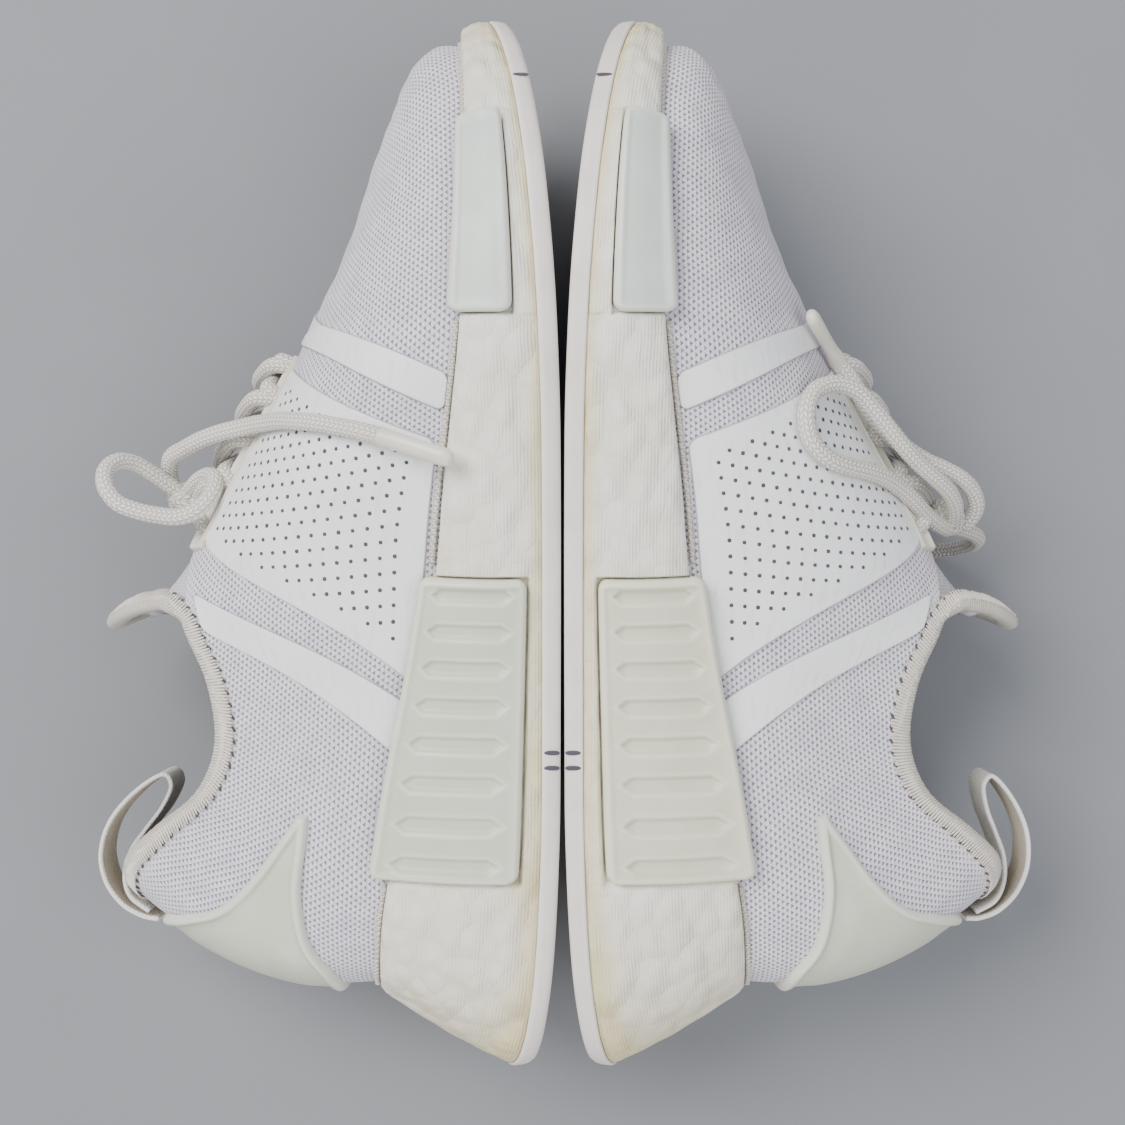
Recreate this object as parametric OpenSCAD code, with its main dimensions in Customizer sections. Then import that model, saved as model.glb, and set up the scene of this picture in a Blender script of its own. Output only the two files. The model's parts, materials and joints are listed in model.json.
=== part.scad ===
// A pair of knitted sock-fit running shoes, lying on their inner sides, sole to sole.
// Shoe frame: x across (outer side +), y from heel to toe, z up from the tread.
// Row frame: the shoes' toes point to +Y, their outer sides to +Z, and the soles meet at X = 0.

/* [Size] */
// Length of a shoe from the back of the foam heel to the toe
shoe_length = 300; // [270:1:320]
// Width of the sole across the ball of the foot
ball_width = 106; // [96:1:114]
// Height from the tread to the tip of the sock lip
lip_height = 131.5; // [120:0.5:145]

/* [Upper] */
// Thickness of the knitted upper
knit_thick = 1.8; // [1.2:0.1:2.6]
// Thickness of the padded collar lining
lining_thick = 2.2; // [1.6:0.1:3]
// Thickness of the welded film overlays
film_thick = 0.8; // [0.5:0.1:1.2]
// Thickness of the moulded heel cap
cap_thick = 2.4; // [1.6:0.1:3]
// Height of the stitched collar binding
binding_height = 7; // [5:0.5:9]

/* [Sole] */
// Height of the outsole's side wall
outsole_wall = 5; // [4:0.5:6]
// Depth of the pockets that hold the sole plugs
pocket_depth = 3; // [2:0.5:4]
// How far a plug stands out of the foam
plug_proud = 2.4; // [1.5:0.1:3]
// Thickness of the removable insole
insole_thick = 4.5; // [3:0.5:6]

/* [Laces and tab] */
// Diameter of the round lace
lace_d = 4.8; // [4:0.1:5.5]
// Length of a lace's plastic tip
aglet_length = 21; // [18:1:26]
// Width of the heel pull tab's webbing
tab_width = 15; // [12:1:20]

/* [Layout] */
// Space between the two treads at rest
sole_gap = 1; // [0.6:0.1:4]

/* [Hidden] */
SIDES = ["right", "left"];
PIECES = ["outsole", "midsole", "lateral_front_plug", "lateral_rear_plug", "medial_front_plug",
    "medial_rear_plug", "strobel_board", "insole", "upper", "collar_lining", "collar_binding",
    "tongue", "lateral_eyestay", "medial_eyestay", "toe_band", "lateral_saddle", "medial_saddle",
    "lateral_heel_band", "medial_heel_band", "heel_cap", "toe_puff", "pull_tab",
    "lace_crossings", "lace_knot", "lace_loop", "lateral_lace_end", "medial_lace_end",
    "lateral_aglet", "medial_aglet"];

// Nominal sizes that the shape tables below are written in
NOMINAL = [106, 300, 131.5];
SCALE = [ball_width / NOMINAL[0], shoe_length / NOMINAL[1], lip_height / NOMINAL[2]];
// Nominal distance from the heel's centre line to the inner side of the ball of the foot
INNER_REACH = 40.5;
// Stations run from the heel's centre (0) to the toe's centre (18)
LAST = 18;
// The station where the throat closes into the ridge of the vamp
THROAT = 12;
LATERAL = 1;
MEDIAL = -1;

// Foot line, where the upper meets the foam: station, outer y, outer x, inner y, inner x
FOOT_LINE = [
    [-1, 28.5, -14, 28.5, 14], [0, 26.5, 0, 26.5, 0], [1, 28.5, 14, 28.5, -14],
    [2, 37, 25.5, 37, -26], [3, 53, 32.3, 52, -33], [4, 73, 35.3, 71, -34],
    [5, 94, 37.2, 91, -32], [6, 114, 39.5, 110, -28.5], [7, 133, 42.3, 129, -25.5],
    [8, 151, 45.6, 147, -24], [9, 168, 49.3, 165, -24.5], [10, 184, 53, 182, -27.5],
    [11, 199, 56.2, 198, -31.5], [12, 213, 58.4, 213, -33.7], [13, 229, 59.3, 229, -34],
    [14, 247, 57, 246, -31.5], [15, 264, 50.3, 262, -25.5], [16, 279, 38.5, 277, -15.5],
    [17, 289, 24, 288.5, -4], [18, 292.5, 9.5, 292.5, 9.5], [19, 289, -4, 288.5, 24]];
// Top line, along the collar, the throat and the vamp ridge: station, y, centre x, half width, z
TOP_LINE = [
    [-1, 55, 0, -10.5, 123], [0, 52, 0, 0, 121.5], [1, 55, 0, 10.5, 123], [2, 63, 0, 18.5, 121],
    [3, 73, 0, 23.5, 110.5], [4, 83, 0, 26.5, 98.5], [5, 97, 0, 28, 93], [6, 114, 0, 28, 95.5],
    [7, 131, 0, 24.5, 103.5], [8, 147, 0, 16.5, 104.5], [9, 165, 0, 14.5, 96], [10, 183, 0.6, 13, 86],
    [11, 199, 1.2, 9.5, 78], [12, 209, 2, 0, 73.5]];
RIDGE_LINE = [
    [11, 196, 1, 0, 80], [12, 209, 2, 0, 73.5], [13, 225, 4, 0, 66], [14, 243, 6, 0, 58],
    [15, 258, 8, 0, 52.5], [16, 267, 9, 0, 49.5], [17, 269.6, 9.4, 0, 48.6], [18, 270, 9.5, 0, 48.5],
    [19, 269.6, 9.4, 0, 48.6]];
// Rib shape: station, bulge above the foot line, rise, reach at the top, drop at the top
RIB = [
    [0, 3.5, 0.38, 0.8, 22], [2, 3.5, 0.37, 0.6, 22], [3, 3.5, 0.36, 0.4, 22], [4, 3.5, 0.35, 0.3, 18],
    [5, 4, 0.35, 0.25, 17], [6, 4, 0.37, 0.3, 17], [7, 4, 0.4, 0.35, 15], [8, 4, 0.44, 0.5, 9],
    [9, 4, 0.46, 0.54, 7], [10, 4, 0.47, 0.55, 6], [11, 3.6, 0.47, 0.56, 4], [12, 3.6, 0.46, 0.56, 0],
    [14, 3.4, 0.5, 0.56, 0], [16, 3.4, 0.58, 0.6, 0], [18, 3.4, 0.6, 0.62, 0]];
// Surface direction along the top line: station, sideways, forwards, upwards
CROWN = [
    [0, 0, -0.7, 0.7], [1, 0.35, -0.65, 0.68], [2, 0.7, -0.35, 0.6], [3, 0.9, -0.05, 0.4],
    [4, 0.95, 0, 0.3], [6, 0.95, 0, 0.3], [7, 0.85, 0.15, 0.45], [8, 0.6, 0.4, 0.66],
    [9, 0.42, 0.46, 0.78], [10, 0.36, 0.45, 0.82], [11, 0.24, 0.45, 0.86], [12, 0, 0.44, 0.9],
    [14, 0, 0.37, 0.93], [16, 0, 0.3, 0.95], [18, 0, 0.28, 0.96]];
// Foam side wall: station, overhang at the tread, overhang at the rim, belly
WALL = [
    [0, 26, 2.5, 1.5], [1, 21, 3, 1.5], [2, 13, 3.5, 2], [3, 8.5, 4, 2], [4, 7, 4.2, 2], [6, 6, 4.4, 2],
    [10, 6, 4.4, 2], [14, 6, 4.2, 1.8], [16, 6, 4.2, 1.5], [18, 7, 4.6, 1]];
// Tread line seen from the side, by y
GROUND = [
    [-20, 14], [0, 10.5], [8, 7], [20, 4.2], [40, 1.8], [70, 0.3], [95, 0], [180, 0], [211, 1],
    [231, 2.4], [252, 4.6], [272, 7.8], [285, 10.8], [292, 13], [300, 16], [320, 25]];
// Rim of the foam seen from the side, by y
RIM = [
    [20, 52], [33, 50], [50, 48.3], [66, 45.6], [90, 41.8], [120, 36.4], [145, 32.6], [165, 30.6],
    [185, 28.2], [209, 25.6], [240, 24.4], [265, 25], [285, 27], [297, 29]];
// Foot bed inside the foam cup, by y
BED = [
    [20, 33], [60, 31], [100, 28], [145, 24.5], [185, 22], [210, 20.2], [240, 19.8], [265, 21],
    [285, 23.6], [297, 26]];
// Sock tongue under the laces: y, z, half width, sideways droop
TONGUE = [
    [221, 65.4, 15, 3], [209, 71.6, 18, 4.5], [196, 79, 21, 7], [180, 88.5, 23, 10.5], [163, 99.5, 24, 14],
    [150, 108, 24, 16], [141, 114, 22.5, 12], [135, 120, 18, 7.5], [131.5, 126, 12.5, 3.5],
    [129.5, 130, 7, 1.2]];
// The tongue's inner half is narrower and falls away faster
TONGUE_INNER = [0.8, 1.6];
// Lip of the sock collar from its outer corner to its tip: half width, y, z
LIP = [[20.5, 136, 109.5], [14.5, 134.5, 119], [7.5, 131.5, 126.5], [0, 129.5, 129.5]];
// Sole plugs: first and last station, share of the wall where they start and end
LATERAL_FRONT_PLUG = [11.8, 14.75, 0.3, 1.18];
LATERAL_REAR_PLUG = [3.45, 7.6, 0.12, 1.14];
MEDIAL_FRONT_PLUG = [13.9, 16.2, 0.3, 1.12];
MEDIAL_REAR_PLUG = [4.6, 8.6, 0.16, 1.1];
// Heel cap: station, lower and upper share of the rib
HEEL_CAP = [[0, 0.13, 0.87], [1, 0.14, 0.84], [1.7, 0.18, 0.74], [2.3, 0.27, 0.63], [3, 0.36, 0.57],
    [3.6, 0.41, 0.54], [4.1, 0.45, 0.5]];
// Film overlays: four corners as station and share of the rib, low front first
TOE_BAND = [[10.1, 0.03], [10.75, 0.03], [12.75, 1], [12.1, 1]];
SADDLE = [[6, 0.04], [9.65, 0.04], [11.15, 0.86], [8.35, 0.9]];
HEEL_BAND = [[5.0, 0.05], [5.75, 0.05], [7.45, 0.92], [6.8, 0.92]];
EYESTAY = [[8.15, 0.87], [11.5, 0.87], [11.5, 0.995], [8.15, 0.995]];
// Eyelet rows on the throat, by station
EYELETS = [11.3, 10.6, 9.9, 9.2, 8.5];
// Pull tab webbing in the middle plane: y and z from the heel seam round the loop and back
TAB_OUTER = [
    [43.3, 116], [44.3, 120.8], [47.8, 126.8], [54.4, 131.6], [63, 133.2], [72.5, 130.4], [81, 123.2]];
TAB_TIP = [86.2, 114.8];
TAB_INNER = [
    [82.6, 111.6], [76, 114.2], [69.5, 119], [63.5, 123.2], [57, 125], [51, 123.6], [46.7, 118.2]];
// The seam that the tab swings on
TAB_HINGE = [45.1, 117];
// How each shoe's tab stands, the left one more upright: lean, bow
TAB_STANCE = [[0, 1], [12, 0.85]];
TAB_THICK = 1.3;
// The bow's knot on top of the throat, for the right and the left shoe
KNOT = [[2, 164.5, 108.5], [3, 160, 111]];
KNOT_D = 12.4;
// Free lace routes, right shoe then left: x, y, z. The outer end lies down the side of the upper
LATERAL_LACE = [
    [[1.2, 167.5, 113], [2.8, 172.6, 113.8], [7, 177, 112.2], [11.6, 179.2, 107.2], [15.8, 181.2, 102],
        [19.6, 182.8, 96.2], [23.2, 183.8, 90.4], [27.4, 184.6, 84.6], [32.4, 184.8, 79.6],
        [37.8, 184.8, 75.2], [42.8, 184.2, 70.2], [47, 183.4, 64.6], [50.6, 182.2, 58.6],
        [53.8, 180.8, 52.4], [55.4, 179.2, 46.6]],
    [[4, 157.6, 116.4], [7.8, 162.2, 118.4], [11.8, 166.8, 116.6], [15.2, 170.2, 112.6],
        [17.6, 172.8, 107.2], [19.4, 175, 101.6], [21, 178, 96.2], [22, 182, 91.2], [22.6, 186.4, 86.8],
        [23.2, 191.4, 83], [24.2, 196.8, 79.8], [25.4, 201.8, 75.8]]];
LATERAL_TIP = [[61.6, 172.6, 27], [46.4, 218.2, 61.2]];
// The inner end hangs over the inner side and lies on the floor beside the upper
MEDIAL_LACE = [
    [[-3, 166, 110.4], [-9.6, 168, 112.4], [-16.8, 168.8, 112], [-23.6, 168.8, 109.8],
        [-29.8, 167.8, 106.2], [-34.2, 166.2, 100.8], [-37, 164, 94.4], [-37.8, 162, 87.6],
        [-37.8, 160.4, 80.6], [-37.8, 159, 73.6], [-37.8, 158.3, 68.6]],
    [[0, 157, 114.4], [-5.6, 155.6, 120.4], [-11.6, 154, 124], [-18.6, 152.4, 124.4],
        [-25.2, 151.2, 121.8], [-30.6, 150.6, 117.4], [-35, 150.4, 111.6], [-37.4, 150.6, 104.8],
        [-37.8, 151.2, 97.6], [-37.8, 151.6, 90.4]]];
MEDIAL_TIP = [[-37.8, 156, 48], [-37.8, 152.4, 70]];
// The bow loop that shows: out past the throat on the right shoe, down over the side on the left
LACE_LOOP = [
    [[4, 166, 109], [6, 169.2, 113.4], [8.6, 172.4, 117.6], [11.8, 175, 121.6], [16.2, 175.2, 125.2],
        [20.6, 172.2, 127.2], [23.8, 167.6, 126.2], [24.6, 163.2, 122.6], [24.2, 161, 117.4],
        [23.8, 159.8, 111.8], [24.2, 159.4, 106], [24.4, 161.4, 100.6], [22.6, 165.6, 97.2],
        [18.6, 169.8, 97], [14, 171.4, 99.8], [9.8, 170.2, 103.6], [6, 167.6, 107]],
    [[6.4, 158.4, 112.4], [12.6, 162.4, 111.2], [18.2, 166.4, 108.2], [22.8, 170, 103.4],
        [26.6, 173.6, 98.2], [30.2, 177.8, 93.2], [33.2, 182.6, 88.4], [35.6, 187.8, 83.6],
        [38.2, 192.6, 78.4], [41, 194.2, 72], [44.6, 191.8, 66], [47.6, 185.8, 63.4], [47.4, 178.6, 64.8],
        [44.8, 174, 69.8], [41, 172.2, 75.8], [36.4, 171.2, 81.8], [31.6, 169.8, 87.2],
        [26.6, 167.4, 92.2], [22, 164.2, 97], [16.8, 160.8, 101.4], [11.6, 158, 105.8],
        [6, 156.4, 110.4]]];

function lerp(a, b, u) = a + (b - a) * u;
function unit(v) = v / norm(v);
function at(t, k, i = 0) = (i >= len(t) - 2 || k < t[i + 1][0]) ? i : at(t, k, i + 1);
function slope(t, i) =
    let (a = t[max(i - 1, 0)], b = t[min(i + 1, len(t) - 1)])
    (b - a) / (b[0] - a[0]);
// Smooth curve through the rows of a table, read at key k
function track(t, k) =
    let (i = at(t, k), a = t[i], b = t[i + 1], d = b[0] - a[0], u = (k - a[0]) / d)
    a * (2 * u ^ 3 - 3 * u ^ 2 + 1) + slope(t, i) * d * (u ^ 3 - 2 * u ^ 2 + u)
    + b * (3 * u ^ 2 - 2 * u ^ 3) + slope(t, i + 1) * d * (u ^ 3 - u ^ 2);

// A nominal point at the size of this shoe
function fit(p) = [p[0] * SCALE[0], p[1] * SCALE[1], p[2] * SCALE[2]];
function fit_all(points) = [for (p = points) fit(p)];
// Height read from a side-view table at a true y
function side_view(table, y) = track(table, y / SCALE[1])[1] * SCALE[2];

// Plan of the foot line and its outward direction
function foot_xy(side, s) =
    let (r = track(FOOT_LINE, s), p = side > 0 ? fit([r[2], r[1], 0]) : fit([r[4], r[3], 0]))
    [p[0], p[1]];
function outward(side, s) =
    let (a = foot_xy(side, s - 0.05), b = foot_xy(side, s + 0.05), d = unit(b - a))
    s == 0 ? [0, -1] : s == LAST ? [0, 1] : side * [d[1], -d[0]];
// A point o outside the foot line at height z
function sole_point(side, s, o, z) =
    let (p = foot_xy(side, s) + outward(side, s) * o)
    [p[0], p[1], z];
function ground(y) = side_view(GROUND, y);
function rim(y) = side_view(RIM, y);
function bed(y) = side_view(BED, y);
function foot(side, s) =
    let (p = foot_xy(side, s))
    [p[0], p[1], rim(p[1]) - 0.6];
function top(side, s) =
    let (r = track(s < THROAT ? TOP_LINE : RIDGE_LINE, s))
    fit([r[2] + side * max(r[3], 0), r[1], r[4]]);
// Fall of the vamp ridge, used to keep both sides smooth across it
function ridge_fall(s) =
    let (a = track(RIDGE_LINE, min(s, 16.2) - 0.1), b = track(RIDGE_LINE, min(s, 16.2) + 0.1))
    (b[4] - a[4]) / (b[1] - a[1]) * SCALE[2] / SCALE[1];
function crown(side, s) =
    let (r = track(CROWN, s))
    unit([side * (s == 0 || s >= THROAT ? 0 : r[1]), r[2], r[3]]);
// Point of the upper at station s and share t of its rib, d outside the knitted face
function skin(side, s, t, d = 0) =
    let (a = foot(side, s), b = top(side, s), r = track(RIB, s), n = outward(side, s),
        pull = (a - b) * r[3],
        fall = s < THROAT ? -r[4] : ridge_fall(s) * pull[1],
        p = a + [n[0], n[1], 0] * r[1] + [0, 0, (b[2] - a[2]) * r[2]],
        q = b + [pull[0], pull[1], fall],
        face = unit(lerp([n[0], n[1], 0], crown(side, s), t)))
    a * (1 - t) ^ 3 + p * 3 * t * (1 - t) ^ 2 + q * 3 * t ^ 2 * (1 - t) + b * t ^ 3 + face * d;
// Point of the foam's side wall at share t of its height; past 1 it climbs the knit
function wall(side, s, t, d = 0) =
    let (w = track(WALL, s), p = foot_xy(side, s), u = min(t, 1),
        low = ground(p[1] + outward(side, s)[1] * w[1]) + outsole_wall, high = rim(p[1]),
        o = lerp(w[1], w[2], u) + w[3] * sin(180 * u) + d,
        top_in = t > 1 ? (t - 1) * 6 : 0)
    sole_point(side, s, o - top_in, lerp(low, high, t));

// Joins two matching grids of points into a closed shell; a loop closes on itself
module shell(outer, inner, loop = false) {
    n = len(outer);
    m = len(outer[0]);
    flat = [for (g = [outer, inner]) for (row = g) each row];
    base = n * m;
    rows = loop ? n - 1 : n - 2;
    next = function(i) (i + 1) % n;
    faces = [
        for (i = [0:rows], j = [0:m - 2])
            let (a = i * m + j, b = next(i) * m + j)
            each [[a, a + 1, b + 1], [a, b + 1, b],
                [base + a, base + b + 1, base + a + 1], [base + a, base + b, base + b + 1]],
        for (i = [0:rows])
            let (a = i * m, b = next(i) * m, c = a + m - 1, d = b + m - 1)
            each [[a, b, base + b], [a, base + b, base + a],
                [c, base + d, d], [c, base + c, base + d]],
        if (!loop) for (j = [0:m - 2])
            let (z = (n - 1) * m + j)
            each [[j, base + j + 1, j + 1], [j, base + j, base + j + 1],
                [z, z + 1, base + z + 1], [z, base + z + 1, base + z]]];
    polyhedron(flat, faces, convexity = 8);
}

// Closed body from stacked loops whose ends are bridged from side to side
module stack(loops) {
    n = len(loops[0]);
    m = len(loops);
    half = n / 2;
    top = (m - 1) * n;
    faces = [
        for (j = [0:m - 2], i = [0:n - 1])
            let (a = j * n + i, b = j * n + (i + 1) % n)
            each [[a, a + n, b + n], [a, b + n, b]],
        for (i = [0:half - 1])
            let (a = i, b = i + 1, c = (n - i - 1) % n, d = (n - i) % n)
            each [if (a != d) [a, b, d], if (b != c) [b, c, d],
                if (a != d) [top + a, top + d, top + b], if (b != c) [top + b, top + d, top + c]]];
    polyhedron([for (loop = loops) each loop], faces, convexity = 8);
}

// Stations round the sole from the heel, along the outer side to the toe and back
function round_list(stations) =
    concat([for (s = stations) [LATERAL, s]],
        [for (i = [len(stations) - 2:-1:1]) [MEDIAL, stations[i]]]);
// A whole ring at offset o and height z, from functions of the plan point's y
function ring(stations, o, height) =
    [for (k = round_list(stations)) sole_point(k[0], k[1], o, height(foot_xy(k[0], k[1])[1]))];
// Grid of skin points over a patch given by four corners
function patch_point(side, c, u, v, d) =
    let (low = lerp(c[0], c[1], u), high = lerp(c[3], c[2], u), p = lerp(low, high, v))
    skin(side, p[0], p[1], d);
module patch(side, corners, columns, rows, d_in, d_out) {
    grid = function(d) [for (i = [0:columns]) [for (j = [0:rows])
        patch_point(side, corners, i / columns, j / rows, d)]];
    if (side > 0) shell(grid(d_out), grid(d_in));
    else shell(grid(d_in), grid(d_out));
}

// Round tube through a list of points, capped at both ends
module tube(path, d, sides = 8) {
    n = len(path);
    along = function(i) unit(path[min(i + 1, n - 1)] - path[max(i - 1, 0)]);
    across = function(i, guide) unit(cross(along(i), guide));
    guides = [for (i = 0, g = unit(cross(along(0), [0.31, 0.17, 0.93])); i < n;
        i = i + 1, g = i < n ? unit(g - along(i) * (g * along(i))) : g) g];
    points = [for (i = [0:n - 1], k = [0:sides - 1])
        let (a = 360 * k / sides, g = guides[i], h = cross(along(i), g))
        path[i] + (g * cos(a) + h * sin(a)) * d / 2];
    faces = [
        for (i = [0:n - 2], k = [0:sides - 1])
            let (a = i * sides + k, b = i * sides + (k + 1) % sides)
            each [[a, a + sides, b + sides], [a, b + sides, b]],
        [for (k = [0:sides - 1]) k],
        [for (k = [sides - 1:-1:0]) (n - 1) * sides + k]];
    polyhedron(points, faces, convexity = 6);
}
// Round bar between two points
module bar(a, b, d) {
    v = b - a;
    translate(a)
        rotate([0, acos(v[2] / norm(v)), atan2(v[1], v[0])])
            cylinder(h = norm(v), d = d, $fn = 24);
}

// Stations used by the full rings
SOLE_STATIONS = [0, 0.6, 1.2, 1.8, 2.5, for (s = [3.25:1:15.25]) s, 16, 16.7, 17.3, LAST];
UPPER_STATIONS = [0, 0.6, 1.2, 1.8, 2.4, for (s = [3:1:11]) s, 11.6, THROAT,
    for (s = [13:1:16]) s, 16.7, 17.4, LAST];
RIB_SHARES = [0, 0.14, 0.3, 0.46, 0.62, 0.78, 0.9, 1];

// Foam wall stations: a pocket starts and stops between two close stations
function pocket_cuts(p) = [p[0] - 0.02, p[0] + 0.02, p[1] - 0.02, p[1] + 0.02];
function in_pocket(p, s, t) = s > p[0] && s < p[1] && t > p[2];
function pocket(side, s, t) =
    side > 0
    ? (in_pocket(LATERAL_FRONT_PLUG, s, t) || in_pocket(LATERAL_REAR_PLUG, s, t))
    : (in_pocket(MEDIAL_FRONT_PLUG, s, t) || in_pocket(MEDIAL_REAR_PLUG, s, t));
FOAM_STATIONS = [0, 0.6, 1.2, 1.8, 2.5, 3.43, 3.47, 4.0, 4.58, 4.62, 5.6, 6.6, 7.58, 7.62, 8.58, 8.62,
    9.6, 10.7, 11.78, 11.82, 12.8, 13.88, 13.92, 14.73, 14.77, 15.4, 16.18, 16.22, 16.8, 17.4, LAST];
FOAM_SHARES = [0, 0.11, 0.13, 0.15, 0.17, 0.29, 0.31, 0.55, 0.8, 1];
FLOOR_X = -INNER_REACH * SCALE[0];
// Keeps a point off the floor that the shoe lies on, which flattens the foam there
function rested(p) = [max(p[0], FLOOR_X), p[1], p[2]];

module outsole() {
    edge = function(k) track(WALL, k[1])[1];
    level = function(o, z) [for (k = round_list(SOLE_STATIONS))
        let (p = sole_point(k[0], k[1], edge(k) + o, 0))
        rested([p[0], p[1], ground(p[1]) + z])];
    color("#e4dcd6")
        stack([level(-4, 0.05), level(-1.2, 0), level(0.2, 1.4), level(0.5, outsole_wall - 0.8),
            level(0, outsole_wall - 0.05)]);
}

module midsole() {
    lap = function(t) [for (k = round_list(FOAM_STATIONS))
        rested(wall(k[0], k[1], t, pocket(k[0], k[1], t) ? -pocket_depth : 0))];
    inner = function(o, height) ring(FOAM_STATIONS, o, height);
    color("#ebe6d6")
        stack(concat([for (t = FOAM_SHARES) lap(t)],
            [inner(0.3, function(y) rim(y)), inner(0.1, function(y) bed(y))]));
}

// A plug fills its pocket, stands proud of the foam and laps up over the knit
module plug(side, p, columns) {
    rows = 5;
    grid = function(d, slip) [for (i = [0:columns]) [for (j = [0:rows])
        let (s = lerp(p[0] + 0.03, p[1] - 0.03, i / columns), t = lerp(p[2] + 0.02, p[3], j / rows),
            q = wall(side, s, t, d))
        rested(t > 1 ? q + [side * slip, 0, 0] : q)]];
    proud = grid(plug_proud, 0);
    deep = grid(0.1 - pocket_depth, pocket_depth - 0.6);
    color("#cdd2c4")
        if (side > 0) shell(proud, deep);
        else shell(deep, proud);
}

module foot_board(lift, thick, inset) {
    level = function(o, z) [for (k = round_list(SOLE_STATIONS))
        let (p = sole_point(k[0], k[1], -o, 0))
        [p[0], p[1], bed(p[1]) + z]];
    stack([level(inset, lift), level(inset, lift + thick)]);
}
module strobel_board() color("#b9b4a8") foot_board(0.2, 1.6, knit_thick + 0.5);
module insole() color("#8f8f93") foot_board(2, insole_thick, knit_thick + 1.2);

// The knitted bootie: both sides, closed along the vamp ridge, open at the collar and throat
module upper() {
    n = len(UPPER_STATIONS);
    m = len(RIB_SHARES) + 1;
    side_grid = function(side, d) [for (s = UPPER_STATIONS)
        concat([sole_point(side, s, d - 0.1, bed(foot_xy(side, s)[1]) + 0.1)],
            [for (t = RIB_SHARES) skin(side, s, t, d)])];
    grids = [side_grid(LATERAL, 0), side_grid(MEDIAL, 0),
        side_grid(LATERAL, -knit_thick), side_grid(MEDIAL, -knit_thick)];
    points = [for (g = grids) for (row = g) each row];
    size = n * m;
    throat = search(THROAT, UPPER_STATIONS)[0];
    quad = function(a, b, c, d, flip) flip ? [[a, c, b], [a, d, c]] : [[a, b, c], [a, c, d]];
    faces = [
        for (g = [0:3], i = [0:n - 2], j = [0:m - 2])
            let (a = g * size + i * m + j, b = a + m)
            each quad(a, a + 1, b + 1, b, g == 1 || g == 2),
        for (g = [0:1], i = [0:n - 2])
            let (a = g * size + i * m, b = a + m)
            each quad(a, b, b + 2 * size, a + 2 * size, g == 1),
        for (g = [0:1], i = [0:throat - 1])
            let (a = g * size + i * m + m - 1, b = a + m)
            each quad(a, b, b + 2 * size, a + 2 * size, g == 0)];
    color("#d9d8de") polyhedron(points, faces, convexity = 10);
}

module collar_lining() {
    stations = [for (i = [-9:9]) i * 7.2 / 9];
    grid = function(d) [for (s = stations) [for (t = [0.3, 0.5, 0.7, 0.86, 0.97])
        skin(s < 0 ? MEDIAL : LATERAL, abs(s), t, d)]];
    color("#a9a9ab") shell(grid(-knit_thick - 0.1), grid(-knit_thick - lining_thick));
}

// Frame of the binding: middle of the edge, surface direction, direction over the edge
function binding_frame(q) =
    let (side = q < 0 ? MEDIAL : LATERAL, s = abs(q))
    s <= 7
    ? [skin(side, s, 0.985, -1.6), crown(side, s), unit(skin(side, s, 1) - skin(side, s, 0.93))]
    : let (r = track([for (i = [0:3]) concat([7.6 + i * 0.8], LIP[i])], s))
        [fit([side * max(r[1], 0), r[2], r[3]]), unit([side * 0.45 * max(10 - s, 0) / 3, 0.62, 0.6]),
            unit([side * 0.35 * max(10 - s, 0) / 3, -0.55, 0.8])];
module collar_binding() {
    stops = [for (i = [0:1:14]) i / 2, 7.6, 8.0, 8.4, 8.9, 9.4, 10];
    turns = concat([for (s = stops) s], [for (i = [len(stops) - 2:-1:1]) -stops[i]]);
    thick = knit_thick + lining_thick + 0.9;
    section = [for (a = [22.5:45:360]) [cos(a) * thick / 2, sin(a) * binding_height / 2]];
    rings = [for (q = turns)
        let (f = binding_frame(q))
        [for (c = section) f[0] + f[1] * c[0] + f[2] * c[1]]];
    n = len(rings);
    m = len(section);
    faces = [for (i = [0:n - 1], j = [0:m - 1])
        let (a = i * m + j, b = i * m + (j + 1) % m, up = ((i + 1) % n - i) * m)
        each [[a, b, b + up], [a, b + up, a + up]]];
    color("#e6e4dc") polyhedron([for (r = rings) each r], faces, convexity = 8);
}

// Stretch panel under the laces that ends in the lip of the sock
module tongue() {
    table = [for (r = TONGUE) [-r[0], r[1], r[2], r[3]]];
    grid = function(d) [for (y = [219, 208, 196, 182, 168, 154, 144, 137, 132.5]) [for (i = [-3:3])
        let (r = track(table, -y), u = i / 3, k = u < 0 ? TONGUE_INNER : [1, 1])
        fit([u * r[2] * k[0], y, r[1] - r[3] * k[1] * u ^ 2]) - [0, d * 0.45, knit_thick + 0.3 + d]]];
    color("#d4d3d8") shell(grid(0), grid(2.6));
}

module eyestay(side) {
    color("#e9e4d8") patch(side, EYESTAY, 8, 1, -0.3, 1);
}

module toe_band() {
    band = function(side, i, shares, d)
        [for (j = shares) patch_point(side, TOE_BAND, i / 3, j / 8, d)];
    grid = function(d) [for (i = [0:3])
        concat(band(LATERAL, i, [0:8], d), band(MEDIAL, i, [7:-1:0], d))];
    color("#e3e3e8") shell(grid(film_thick), grid(-0.3));
}
module saddle(side) color("#e9e9e6") patch(side, SADDLE, 6, 6, -0.4, film_thick);
module heel_band(side) color("#e3e3e8") patch(side, HEEL_BAND, 2, 8, -0.4, film_thick);

// Moulded cap round the back of the heel with a wing along each side
module heel_cap() {
    stations = [0, 0.6, 1.2, 1.8, 2.4, 3, 3.55, 4.1];
    turns = concat([for (i = [len(stations) - 1:-1:1]) -stations[i]], stations);
    grid = function(d) [for (q = turns) [for (j = [0:4])
        let (s = abs(q), r = track(HEEL_CAP, s))
        skin(q < 0 ? MEDIAL : LATERAL, s, lerp(r[1], r[2], j / 4), d)]];
    color("#c3c5b4") shell(grid(cap_thick), grid(-0.3));
}

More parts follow.
